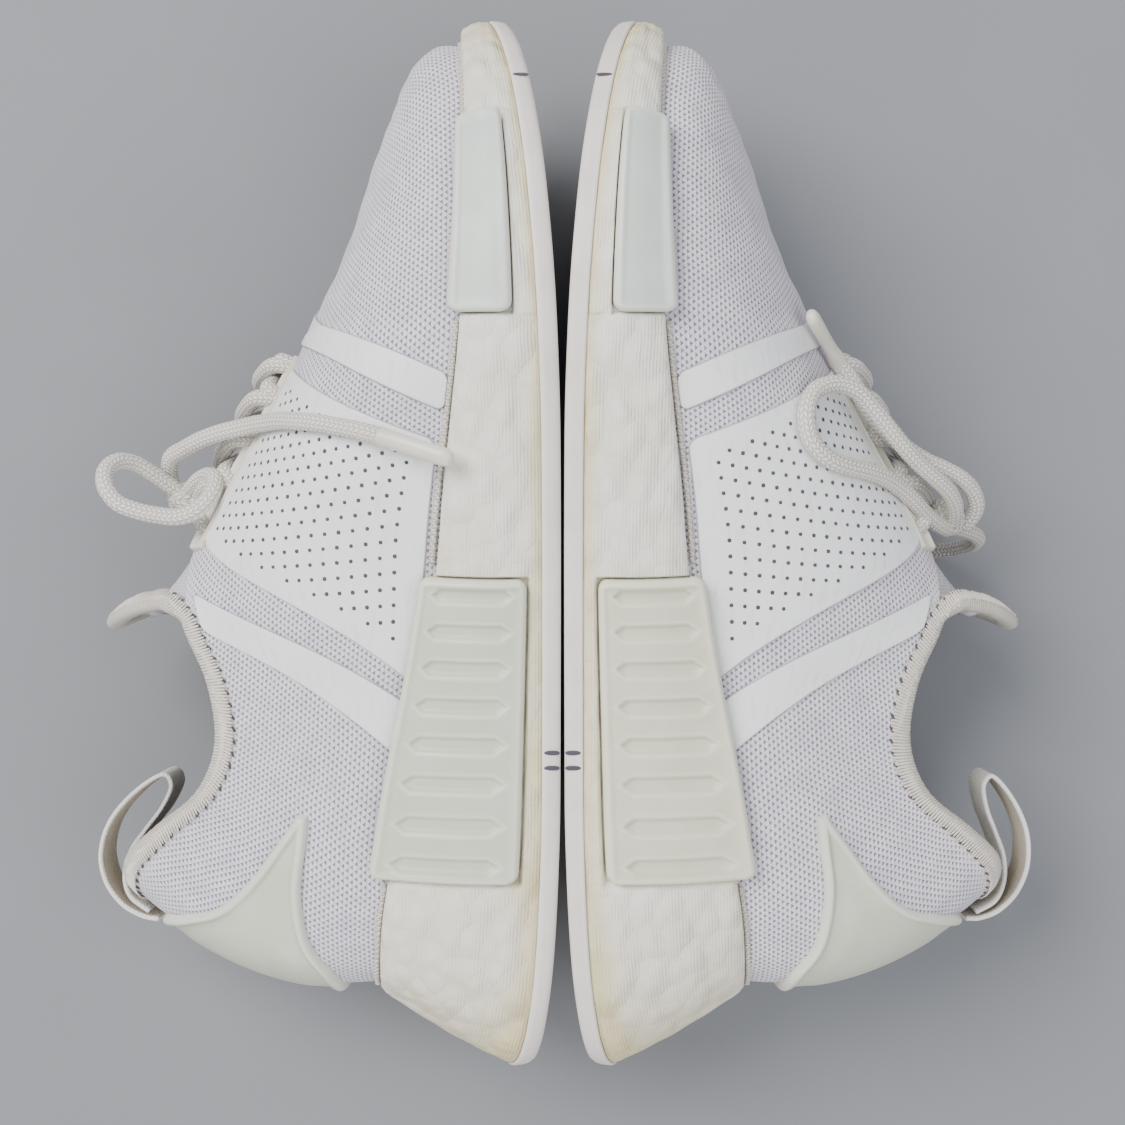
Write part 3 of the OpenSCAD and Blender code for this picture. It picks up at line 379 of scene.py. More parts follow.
@dataclass
class Cloth:
    """Vertices, faces, a flat pattern and marks that become one mesh.

    Attributes:
        points: vertices in shoe millimetres.
        faces: quads and triangles as vertex indices.
        pattern: flat pattern coordinates in millimetres, one pair a vertex.
        marks: named numbers, one a vertex.
    """

    points: list[np.ndarray] = field(default_factory=list)
    faces: list[np.ndarray] = field(default_factory=list)
    pattern: list[np.ndarray] = field(default_factory=list)
    marks: dict[str, list[np.ndarray]] = field(default_factory=dict)
    count: int = 0

    def add(self, points: np.ndarray, faces: np.ndarray, pattern: np.ndarray, **marks: np.ndarray) -> int:
        """Adds a lump of geometry.

        Args:
            points: its vertices.
            faces: its quads, counted from its own first vertex.
            pattern: flat coordinates.
            marks: further numbers for each vertex.

        Returns:
            The index of its first vertex.
        """
        start = self.count
        n = len(points)
        if len(faces):
            p = (points - points.mean(0))[faces]
            volume = sum(np.einsum("ij,ij->", p[:, 0], np.cross(p[:, i], p[:, i + 1])) for i in (1, 2))
            faces = faces[:, ::-1] if volume < 0 else faces
        self.points.append(points)
        self.faces.append(faces + start)
        self.pattern.append(pattern)
        for name in set(self.marks) | set(marks):
            rows = self.marks.setdefault(name, [np.zeros(start)] if start else [])
            rows.append(np.asarray(marks.get(name, np.zeros(n)), float).reshape(-1))
        self.count += n
        return start

    def loft(self, grid: np.ndarray, pattern: np.ndarray, **marks: np.ndarray) -> None:
        """Adds a closed skin through rings of points whose first and last rings are flat lines.

        Args:
            grid: rings of points, where each ring's last point is its first again.
            pattern: grid of flat coordinates.
            marks: grids of further numbers.
        """
        n, m = grid.shape[:2]
        idx = np.arange(n * m).reshape(n, m)
        faces = np.stack([idx[:-1, :-1], idx[:-1, 1:], idx[1:, 1:], idx[1:, :-1]], -1).reshape(-1, 4)
        self.add(grid.reshape(-1, 3), faces, pattern.reshape(-1, 2), **marks)

    def shell(self, outer: np.ndarray, inner: np.ndarray, pattern: np.ndarray, loop: bool = False,
              joined: Optional[np.ndarray] = None, **marks: np.ndarray) -> None:
        """Adds a closed sheet between two matching grids.

        Args:
            outer: grid of points of the outer face.
            inner: grid of points of the inner face.
            pattern: grid of flat coordinates.
            loop: whether the first axis closes on itself.
            joined: rows whose far edge is closed by the other side, so it takes no rim.
            marks: grids of further numbers.
        """
        n, m = outer.shape[:2]
        idx = np.arange(n * m).reshape(n, m)
        a = idx if loop else idx[:-1]
        b = np.roll(idx, -1, 0) if loop else idx[1:]
        base = n * m
        quad = lambda p, q, r, s: np.stack([p, q, r, s], -1).reshape(-1, 4)
        faces = [quad(a[:, :-1], b[:, :-1], b[:, 1:], a[:, 1:]),
                 quad(a[:, :-1], a[:, 1:], b[:, 1:], b[:, :-1]) + base,
                 quad(a[:, 0], a[:, 0] + base, b[:, 0] + base, b[:, 0])]
        rim = quad(a[:, -1], b[:, -1], b[:, -1] + base, a[:, -1] + base)
        faces.append(rim if joined is None else rim[~joined[:len(rim)]])
        if not loop:
            for row, flip in ((idx[0], True), (idx[-1], False)):
                p, q = row[:-1], row[1:]
                faces.append(quad(p, q, q + base, p + base) if flip else quad(p, p + base, q + base, q))
        points = np.concatenate([outer.reshape(-1, 3), inner.reshape(-1, 3)])
        flat = np.concatenate([pattern.reshape(-1, 2)] * 2)
        double = {k: np.concatenate([np.broadcast_to(v, (n, m)).reshape(-1)] * 2) for k, v in marks.items()}
        double.setdefault("inside", np.r_[np.zeros(base), np.ones(base)])
        self.add(points, np.concatenate(faces), flat, **double)

    def tube(self, path: np.ndarray, radius: Any, sides: int = 14, squash: Any = 1.0,
             guide: Optional[np.ndarray] = None) -> None:
        """Adds a round tube with domed ends along a line.

        Args:
            path: points of its centreline.
            radius: its radius, or one for each point.
            sides: sides of its section.
            squash: thickness over width, or one for each point.
            guide: direction that the section's first side faces.
        """
        n = len(path)
        radius = np.broadcast_to(np.asarray(radius, float), (n,)).copy()
        squash = np.broadcast_to(np.asarray(squash, float), (n,))
        along = unit(np.gradient(path, axis=0))
        g = unit(np.cross(along[0], np.array([0.31, 0.17, 0.93]) if guide is None else guide))
        frames = []
        for t in along:
            g = unit(g - t * np.dot(g, t))
            frames.append(g)
        g = np.array(frames)
        h = np.cross(along, g)
        a = np.linspace(0, 2 * np.pi, sides + 1)
        ring = (g[:, None] * np.cos(a)[None, :, None]
                + h[:, None] * (np.sin(a)[None, :] * squash[:, None])[..., None])
        dome = lambda end, sign, k: (path[end] + ring[end] * radius[end] * math.cos(k * math.pi / 2)
                                     + sign * along[end] * radius[end] * 0.55 * math.sin(k * math.pi / 2))
        ends = [np.stack([dome(0, -1, k) for k in (1.0, 0.9, 0.55)]),
                np.stack([dome(n - 1, 1, k) for k in (0.55, 0.9, 1.0)])]
        grid = np.concatenate([ends[0], path[:, None] + ring * radius[:, None, None], ends[1]])
        length = arc_lengths(grid.mean(1)[:, None], 0)[:, 0]
        pattern = np.stack(np.broadcast_arrays(length[:, None], (a * radius.mean())[None]), -1)
        self.loft(grid, pattern)

    def build(self, name: str, foot: Foot, weld: float = 1e-3) -> bpy.types.Object:
        """Makes the object, with faces pointing outwards and shared edges merged.

        Args:
            name: name of the piece.
            foot: the shoe that it belongs to.
            weld: distance in millimetres under which vertices become one.

        Returns:
            The finished object, placed in its mesh.
        """
        points = np.concatenate(self.points)
        keys = np.round(points / weld).astype(np.int64)
        _, first, back = np.unique(keys, axis=0, return_index=True, return_inverse=True)
        back = back.reshape(-1)
        world = foot.world(points[first])
        rows, corners, seen = [], [], set()
        for f in np.concatenate(self.faces).tolist():
            ring = [v for i, v in enumerate(f) if back[v] != back[f[i - 1]]]
            merged = [int(back[v]) for v in ring]
            key = frozenset(merged)
            if len(key) == len(merged) > 2 and key not in seen:
                seen.add(key)
                step = -1 if foot is Foot.LEFT else 1
                rows.append(merged[::step])
                corners.extend(ring[::step])
        mesh = bpy.data.meshes.new(name)
        mesh.from_pydata(world.tolist(), [], rows)
        mesh.polygons.foreach_set("use_smooth", np.ones(len(mesh.polygons), bool))
        flat = np.concatenate(self.pattern)[corners]
        mesh.uv_layers.new(name="pattern").data.foreach_set("uv", flat.astype(np.float32).reshape(-1))
        for mark, lists in self.marks.items():
            values = np.concatenate(lists)
            values = np.r_[values, np.zeros(len(points) - len(values))]
            mesh.attributes.new(mark, "FLOAT", "POINT").data.foreach_set("value",
                                                                         values[first].astype(np.float32))
        mesh.validate()
        mesh.update()
        obj = bpy.data.objects.new(name, mesh)
        bpy.context.scene.collection.objects.link(obj)
        return obj


Colour = tuple[float, float, float]


def srgb(r: float, g: float, b: float) -> Colour:
    """A display colour of 0 to 255 as a linear one."""
    f = lambda c: c / 12.92 if c <= 0.04045 else ((c + 0.055) / 1.055) ** 2.4
    return f(r / 255), f(g / 255), f(b / 255)


class Value:
    """A number that varies over a surface; arithmetic on it adds maths nodes."""

    def __init__(self, net: "Net", socket: bpy.types.NodeSocket) -> None:
        """Wraps an output socket."""
        self.net, self.socket = net, socket

    def maths(self, operation: str, *others: Any, first: Any = None) -> "Value":
        """One maths node on this value.

        Args:
            operation: its operation.
            others: its further inputs.
            first: an input that comes before this value.

        Returns:
            The node's result.
        """
        row = ([] if first is None else [first]) + [self] + list(others)
        return Value(self.net, self.net.node("ShaderNodeMath", {"operation": operation},
                                             dict(enumerate(row))).outputs[0])

    def __add__(self, other: Any) -> "Value":
        """Sum."""
        return self.maths("ADD", other)

    __radd__ = __add__

    def __mul__(self, other: Any) -> "Value":
        """Product."""
        return self.maths("MULTIPLY", other)

    __rmul__ = __mul__

    def __sub__(self, other: Any) -> "Value":
        """Difference."""
        return self.maths("SUBTRACT", other)

    def __rsub__(self, other: Any) -> "Value":
        """Reflected difference."""
        return self.maths("SUBTRACT", first=other)

    def __truediv__(self, other: Any) -> "Value":
        """Quotient."""
        return self.maths("DIVIDE", other)

    def __pow__(self, other: Any) -> "Value":
        """Power."""
        return self.maths("POWER", other)

    def __abs__(self) -> "Value":
        """Size without sign."""
        return self.maths("ABSOLUTE")

    def __mod__(self, other: Any) -> "Value":
        """Remainder that is never negative."""
        return self.maths("FLOORED_MODULO", other)

    def floor(self) -> "Value":
        """Whole part."""
        return self.maths("FLOOR")

    def sin(self) -> "Value":
        """Sine."""
        return self.maths("SINE")

    def top(self, other: Any) -> "Value":
        """The larger of two."""
        return self.maths("MAXIMUM", other)

    def low(self, other: Any) -> "Value":
        """The smaller of two."""
        return self.maths("MINIMUM", other)

    def step(self, start: float, end: float) -> "Value":
        """A smooth step from 0 at start to 1 at end."""
        node = self.net.node("ShaderNodeMapRange", {"interpolation_type": "SMOOTHSTEP"},
                             {0: self, 1: start, 2: end, 3: 0.0, 4: 1.0})
        return Value(self.net, node.outputs[0])


class Net:
    """Builds the node tree of one material."""

    def __init__(self, name: str) -> None:
        """Starts a material with its Principled shader."""
        self.material = bpy.data.materials.new(name)
        self.material.use_nodes = True
        self.tree = self.material.node_tree
        self.shader = next(n for n in self.tree.nodes if n.type == "BSDF_PRINCIPLED")

    def feed(self, socket: bpy.types.NodeSocket, value: Any) -> None:
        """Gives a socket a value or a link."""
        if isinstance(value, Value):
            self.tree.links.new(value.socket, socket)
        elif isinstance(value, bpy.types.NodeSocket):
            self.tree.links.new(value, socket)
        elif isinstance(value, tuple) and socket.type == "RGBA":
            socket.default_value = (*value[:3], 1.0)
        else:
            socket.default_value = value

    def node(self, kind: str, settings: Optional[dict[str, Any]] = None,
             sockets: Optional[dict[Any, Any]] = None) -> bpy.types.Node:
        """Adds a node.

        Args:
            kind: its type.
            settings: properties that are set first.
            sockets: values or links by socket index or name.

        Returns:
            The node.
        """
        node = self.tree.nodes.new(kind)
        for name, value in (settings or {}).items():
            setattr(node, name, value)
        for key, value in (sockets or {}).items():
            self.feed(node.inputs[key], value)
        return node

    def pattern(self) -> tuple[Value, Value]:
        """Flat pattern coordinates in millimetres."""
        uv = self.node("ShaderNodeUVMap", {"uv_map": "pattern"})
        parts = self.node("ShaderNodeSeparateXYZ", sockets={0: uv.outputs[0]})
        return Value(self, parts.outputs[0]), Value(self, parts.outputs[1])

    def mark(self, name: str) -> Value:
        """A mark stored on the mesh."""
        return Value(self, self.node("ShaderNodeAttribute", {"attribute_name": name}).outputs["Fac"])

    def place(self) -> bpy.types.NodeSocket:
        """Object coordinates."""
        return self.node("ShaderNodeTexCoord").outputs["Object"]

    def flat(self, u: Any, v: Any) -> bpy.types.NodeSocket:
        """Two values as a vector."""
        return self.node("ShaderNodeCombineXYZ", sockets={0: u, 1: v}).outputs[0]

    def noise(self, size: float, detail: float = 2.0, at: Any = None, rough: float = 0.5) -> Value:
        """Soft noise whose grains are about size millimetres, or units of at."""
        scale = 1.0 / (size * (MM if at is None else 1.0))
        node = self.node("ShaderNodeTexNoise",
                         sockets={"Vector": self.place() if at is None else at, "Scale": scale,
                                                        "Detail": detail, "Roughness": rough})
        return Value(self, node.outputs[0])

    def cells(self, size: float, feature: str = "F1", at: Any = None) -> Value:
        """Distance in a cell pattern whose cells are about size millimetres."""
        scale = 1.0 / (size * (MM if at is None else 1.0))
        node = self.node("ShaderNodeTexVoronoi", {"feature": feature},
                         {"Vector": self.place() if at is None else at, "Scale": scale})
        return Value(self, node.outputs["Distance"])

    def mix(self, a: Any, b: Any, factor: Any) -> bpy.types.NodeSocket:
        """A colour between a and b."""
        node = self.node("ShaderNodeMix", {"data_type": "RGBA"}, {0: factor, 6: a, 7: b})
        return node.outputs[2]

    def done(self, colour: Any, rough: Any, height: Any = None, relief: float = 0.1,
             **fixed: float) -> bpy.types.Material:
        """Joins the results to the shader.

        Args:
            colour: base colour.
            rough: roughness.
            height: height of the relief, from 0 to 1.
            relief: depth of the relief in millimetres.
            fixed: values of further shader sockets, with underscores for spaces.

        Returns:
            The material.
        """
        self.feed(self.shader.inputs["Base Color"], colour)
        self.feed(self.shader.inputs["Roughness"], rough)
        for name, value in fixed.items():
            self.feed(self.shader.inputs[name.replace("_", " ")], value)
        if height is not None:
            bump = self.node("ShaderNodeBump",
                             sockets={"Distance": relief * MM, "Strength": 1.0, "Height": height})
            self.feed(self.shader.inputs["Normal"], bump.outputs[0])
        return self.material


@dataclass(frozen=True)
class KnitFinish:
    """Jersey knit with rows of small eyelet stitches.

    Attributes:
        yarn: colour of the yarn.
        shade: painted shade inside the eyelets.
        warm: tint where the knit is denser.
        wale: distance between eyelets along a row, in millimetres.
        course: distance between rows.
        open_work: how strong the painted shade in the eyelets is.
    """

    name: str = "knit"
    yarn: Colour = srgb(231, 228, 235)
    shade: Colour = srgb(104, 94, 122)
    warm: Colour = srgb(232, 224, 224)
    wale: float = 1.8
    course: float = 1.25
    open_work: float = 0.85

    def make(self) -> bpy.types.Material:
        """Builds the material."""
        net = Net(self.name)
        u, v = net.pattern()
        dense = net.mark("dense")
        sway = net.noise(14, 2) - 0.5
        v = v + sway * 1.2
        row = (v / self.course).floor()
        x = ((u + sway * 0.8) / self.wale + row * 0.5) % 1.0 - 0.5
        y = (v / self.course) % 1.0 - 0.5
        spread = net.noise(1.7, 1)
        wedge = (abs(x) * 1.9 + (y + 0.3) * 0.95 - 0.62).top((y + 0.34) * -1.6)
        hole = (1 - wedge.step(-0.16, 0.10)) * (0.5 + spread).low(1.0)
        hole = hole * (1 - dense * 0.74)
        ribs = ((v / self.course * 2 * math.pi).sin() * 0.5 + 0.5)
        loops = abs((u / 0.62 * 2 * math.pi).sin())
        stain = net.noise(38, 3).step(0.42, 0.7)
        fuzz = net.noise(0.35, 2)
        base = net.mix(self.yarn, self.warm, (dense * 0.7 + stain * 0.35).low(1.0))
        base = net.mix(base, srgb(206, 202, 214),
                       (net.noise(5.5, 3).step(0.35, 0.75) * 0.5 + ribs * 0.16 + fuzz * 0.1))
        # Painted shade inside the eyelet holes.
        base = net.mix(base, self.shade, hole * self.open_work)
        # Painted shade: the knit's inner face is darkened, as the inside of the shoe lies in shade.
        base = net.mix(base, srgb(120, 108, 122), net.mark("inside") * 0.65)
        height = (1 - hole) * 0.7 + ribs * 0.2 + loops * 0.14 + fuzz * 0.12
        return net.done(base, 0.78 + hole * 0.15, height, 0.34, Sheen_Weight=0.18, Sheen_Roughness=0.5,
                        Specular_IOR_Level=0.3)


@dataclass(frozen=True)
class ClothFinish:
    """Plain close cloth: lining, board or tongue."""

    name: str
    yarn: Colour
    shade: Colour
    rib: float = 0.9
    depth: float = 0.18

    def make(self) -> bpy.types.Material:
        """Builds the material."""
        net = Net(self.name)
        u, v = net.pattern()
        wales = (u / self.rib * 2 * math.pi).sin() * 0.5 + 0.5
        rows = (v / (self.rib * 0.8) * 2 * math.pi
                + (u / self.rib * 2 * math.pi).sin() * 0.9).sin() * 0.5 + 0.5
        fuzz = net.noise(0.4, 3)
        worn = net.noise(16, 3).step(0.4, 0.7)
        weave = wales * rows
        colour = net.mix(self.yarn, self.shade, ((1 - weave) * 0.5 + worn * 0.25 + fuzz * 0.12).low(1.0))
        return net.done(colour, 0.86, weave * 0.7 + fuzz * 0.3, self.depth, Sheen_Weight=0.25,
                        Specular_IOR_Level=0.25)


@dataclass(frozen=True)
class FoamFinish:
    """Moulded bead foam that yellows at its ends and edges."""

    name: str = "midsole_foam"
    fresh: Colour = srgb(239, 236, 226)
    aged: Colour = srgb(226, 213, 168)
    # seam: colour of the real lines between the beads, also used as painted shade in the valleys between them.
    seam: Colour = srgb(196, 184, 158)
    bead: float = 7.5

    def make(self) -> bpy.types.Material:
        """Builds the material."""
        net = Net(self.name)
        u, v = net.pattern()
        at = net.flat((u + (net.noise(9, 2) - 0.5) * 4) / self.bead,
                      (v + (net.noise(7, 2) - 0.5) * 3) / (self.bead * 0.72))
        edge = net.cells(1.0, "DISTANCE_TO_EDGE", at)
        dome = 1 - net.cells(1.0, "SMOOTH_F1", at).top(0.0) ** 1.6
        line = 1 - edge.step(0.0, 0.10)
        ribs = (v / 0.9 * 2 * math.pi + (net.noise(5, 1) - 0.5) * 2).sin() * 0.5 + 0.5
        age = (net.mark("age") + net.noise(22, 3).step(0.45, 0.8) * 0.35).low(1.0)
        colour = net.mix(self.fresh, self.aged, age)
        # Real seam lines between the beads, and painted shade in the valleys between the domes.
        colour = net.mix(colour, self.seam, line * 0.07 + (1 - dome) * 0.26)
        dirt = net.noise(1.1, 4).step(0.66, 0.8) * net.noise(30, 2).step(0.5, 0.7)
        colour = net.mix(colour, srgb(168, 158, 140), dirt * 0.35)
        rough = 0.5 + net.noise(6, 2) * 0.16
        return net.done(colour, rough, dome * 0.9 - line * 0.03 + ribs * 0.035 + net.noise(0.5, 2) * 0.03,
                        2.6,
                        Subsurface_Weight=0.12, Subsurface_Scale=0.004, Specular_IOR_Level=0.42)


@dataclass(frozen=True)
class RubberFinish:
    """Smooth moulded rubber or plastic with scuffs.

    Attributes:
        body: its colour.
        rim: its colour along rims and raised borders, from the mark "edge"; where it is lighter than the body it is
            a painted highlight.
        grime: colour of scuffs and dirt.
        rough: roughness.
        grain: size of its moulded grain in millimetres.
    """

    name: str
    body: Colour
    rim: Colour
    grime: Colour
    rough: float = 0.45
    grain: float = 0.7
    relief: float = 0.05

    def make(self) -> bpy.types.Material:
        """Builds the material."""
        net = Net(self.name)
        edge = net.mark("edge")
        cloud = net.noise(12, 4).step(0.38, 0.72)
        scuff = net.noise(1.6, 5, rough=0.7).step(0.62, 0.78) * net.noise(18, 2).step(0.45, 0.65)
        colour = net.mix(self.body, self.grime, cloud * 0.22 + scuff * 0.4)
        # Painted highlight on rims and raised borders where the rim colour is lighter than the body; on the eyestay
        # it darkens the border.
        colour = net.mix(colour, self.rim, (edge * 0.8).low(1.0))
        rough = self.rough + cloud * 0.14 + scuff * 0.2 - edge * 0.05
        return net.done(colour, rough, net.noise(self.grain, 3) * 0.7 + (1 - scuff) * 0.3, self.relief,
                        Subsurface_Weight=0.08, Subsurface_Scale=0.003, Specular_IOR_Level=0.45)


@dataclass(frozen=True)
class FilmFinish:
    """Thin film welded on the knit, which shows through as a faint texture."""

    name: str = "film_overlay"
    body: Colour = srgb(241, 242, 243)
    # rim: a dark outline of painted shade along the film's raised edge.
    rim: Colour = srgb(150, 146, 154)

    def make(self) -> bpy.types.Material:
        """Builds the material."""
        net = Net(self.name)
        u, v = net.pattern()
        edge = net.mark("edge")
        crease = net.noise(1.0, 3, net.flat(u / 9, v / 2.2)).step(0.5, 0.72)
        ghost = (u / 1.55 * 2 * math.pi).sin() * (v / 1.0 * 2 * math.pi).sin()
        speck = net.noise(0.9, 1).step(0.76, 0.80)
        # Painted shade in the creases, with a random mottle of tone.
        colour = net.mix(self.body, srgb(222, 221, 220), crease * 0.5 + net.noise(20, 3).step(0.4, 0.8) * 0.3)
        colour = net.mix(colour, srgb(120, 110, 100), speck * 0.35)
        # Painted shade: a dark outline along the film's raised edge.
        colour = net.mix(colour, self.rim, (edge * edge).low(1.0) * 0.85)
        return net.done(colour, 0.34 + crease * 0.16 + net.noise(7, 3) * 0.12,
                        ghost * 0.12 + crease * 0.3 + 0.3, 0.12,
                        Specular_IOR_Level=0.5, Coat_Weight=0.08)


@dataclass(frozen=True)
class BraidFinish:
    """Round braid: two sets of strands that cross as small ticks.

    Attributes:
        yarn: colour of the strands.
        shade: colour between them.
        strand: length of one tick along the braid, in millimetres.
        around: width of one tick.
        seam: whether a line runs along it.
    """

    name: str
    yarn: Colour
    shade: Colour
    strand: float = 1.5
    around: float = 1.25
    seam: bool = True

    def make(self) -> bpy.types.Material:
        """Builds the material."""
        net = Net(self.name)
        u, v = net.pattern()
        column = (v / self.around).floor()
        flip = (column % 2.0) * 2 - 1
        within = (v / self.around) % 1.0
        slant = (u / self.strand + flip * within * 0.75) % 1.0 - 0.5
        tick = 1 - (abs(slant) * 2).step(0.35, 1.0)
        cover = 1 - (abs(within - 0.5) * 2).step(0.6, 1.05)
        strand = tick * cover
        fibre = net.noise(0.3, 2)
        stain = net.noise(13, 3).step(0.42, 0.75)
        colour = net.mix(self.shade, self.yarn, (strand * 0.85 + fibre * 0.25).low(1.0))
        colour = net.mix(colour, srgb(220, 212, 196), stain * 0.35)
        if self.seam:
            line = 1 - abs(v - 6.2).step(0.12, 0.4)
            colour = net.mix(colour, self.shade, line * 0.6)
        return net.done(colour, 0.72, strand * 0.8 + fibre * 0.2, 0.32, Sheen_Weight=0.12,
                        Specular_IOR_Level=0.3)


@dataclass(frozen=True)
class WebbingFinish:
    """Herringbone webbing with bright edges and inner faces darkened by painted shade."""

    name: str = "webbing"
    yarn: Colour = srgb(236, 234, 226)
    core: Colour = srgb(186, 174, 152)

    def make(self) -> bpy.types.Material:
        """Builds the material."""
        net = Net(self.name)
        u, v = net.pattern()
        band = (v / 2.5).floor() % 2.0
        fold = ((v / 2.5) % 1.0) * (band * 2 - 1)
        twill = ((u / 1.3 + fold * 1.4) * 2 * math.pi).sin() * 0.5 + 0.5
        pick = (u / 0.42 * 2 * math.pi).sin() * 0.5 + 0.5
        fibre = net.noise(0.35, 3)
        colour = net.mix(self.yarn, self.core, (1 - twill) * 0.34 + fibre * 0.12)
        # Painted shade on the inner faces of the loop.
        colour = net.mix(colour, self.core, net.mark("inside") * 0.75)
        colour = net.mix(colour, srgb(246, 245, 242), net.mark("edge") * 0.8)
        return net.done(colour, 0.8, twill * 0.6 + pick * 0.2 + fibre * 0.2, 0.3, Sheen_Weight=0.15,
                        Specular_IOR_Level=0.28)


@dataclass(frozen=True)
class BindingFinish:
    """Overlocked edge: dense thread ribs across a soft roll."""

    name: str = "binding"
    thread: Colour = srgb(236, 232, 222)
    gap: Colour = srgb(186, 176, 160)

    def make(self) -> bpy.types.Material:
        """Builds the material."""
        net = Net(self.name)
        u, v = net.pattern()
        wander = (net.noise(4, 2) - 0.5) * 0.8
        rib = ((u + wander) / 0.85 * 2 * math.pi + v * 0.35).sin() * 0.5 + 0.5
        fibre = net.noise(0.28, 2)
        patchy = net.noise(9, 3).step(0.38, 0.72)
        colour = net.mix(self.gap, self.thread, (rib ** 0.6 * 0.85 + fibre * 0.2).low(1.0))
        colour = net.mix(colour, srgb(214, 204, 186), patchy * 0.4)
        return net.done(colour, 0.8, rib * 0.75 + fibre * 0.25, 0.5, Sheen_Weight=0.15,
                        Specular_IOR_Level=0.28)


class Finishes:
    """The finishes of the pair, each built once."""

    def __init__(self) -> None:
        """Builds every material."""
        self.knit = KnitFinish().make()
        self.knit_dense = KnitFinish("tongue_knit", open_work=0.5, wale=1.3, course=0.95).make()
        self.lining = ClothFinish("lining", srgb(168, 164, 166), srgb(104, 98, 102), 1.1, 0.25).make()
        self.insole = ClothFinish("insole_foam", srgb(150, 150, 156), srgb(104, 104, 112), 1.3, 0.2).make()
        self.board = ClothFinish("strobel_board", srgb(196, 190, 178), srgb(160, 154, 144), 0.7, 0.1).make()
        self.puff = ClothFinish("toe_puff", srgb(204, 198, 186), srgb(170, 164, 154), 0.7, 0.1).make()
        self.eyestay = RubberFinish("eyestay", srgb(232, 227, 214), srgb(206, 196, 178), srgb(204, 194, 174),
                                    0.6, 0.5,
                                    0.12).make()
        self.foam = FoamFinish().make()
        self.outsole = RubberFinish("outsole_rubber", srgb(229, 222, 216), srgb(240, 236, 230),
                                    srgb(190, 178, 166),
                                    0.55, 0.9, 0.1).make()
        self.front_plug = RubberFinish("sole_plug", srgb(204, 214, 206), srgb(230, 232, 222),
                                       srgb(184, 188, 174),
                                       0.36, 2.2, 0.06).make()
        self.rear_plug = RubberFinish("sole_plug_rear", srgb(205, 209, 190), srgb(228, 229, 212),
                                      srgb(186, 182, 156),
                                      0.38, 2.2, 0.06).make()
        self.rear_plug_aged = RubberFinish("sole_plug_aged", srgb(216, 214, 190), srgb(234, 231, 212),
                                           srgb(196, 188, 156), 0.38, 2.2, 0.06).make()
        self.cap = RubberFinish("heel_cap", srgb(206, 208, 191), srgb(226, 226, 212), srgb(176, 170, 146),
                                0.3, 1.5,
                                0.04).make()
        self.film = FilmFinish().make()
        self.binding = BindingFinish().make()
        self.webbing = WebbingFinish().make()
        self.lace = BraidFinish("lace", srgb(240, 237, 230), srgb(188, 180, 170)).make()
        self.aglet = RubberFinish("aglet", srgb(224, 219, 205), srgb(236, 233, 224), srgb(188, 176, 152), 0.2,
                                  1.8,
                                  0.03).make()
        self.thread = ClothFinish("thread", srgb(240, 235, 226), srgb(204, 194, 184), 0.5, 0.1).make()
        # Painted shade: this dark finish stands for the shade inside the saddle vents, the outsole's flex slots and
        # the collar's needle holes.
        self.vent = ClothFinish("vent_shadow", srgb(96, 90, 100), srgb(60, 56, 64), 0.5, 0.05).make()
        self.floor = self._floor()

    @staticmethod
    def _floor() -> bpy.types.Material:
        """The pale paper that the pair lies on."""
        net = Net("paper")
        colour = net.mix(srgb(138, 140, 144), srgb(132, 134, 138), net.noise(60, 2))
        return net.done(colour, 0.85, net.noise(0.6, 2), 0.02, Specular_IOR_Level=0.2)


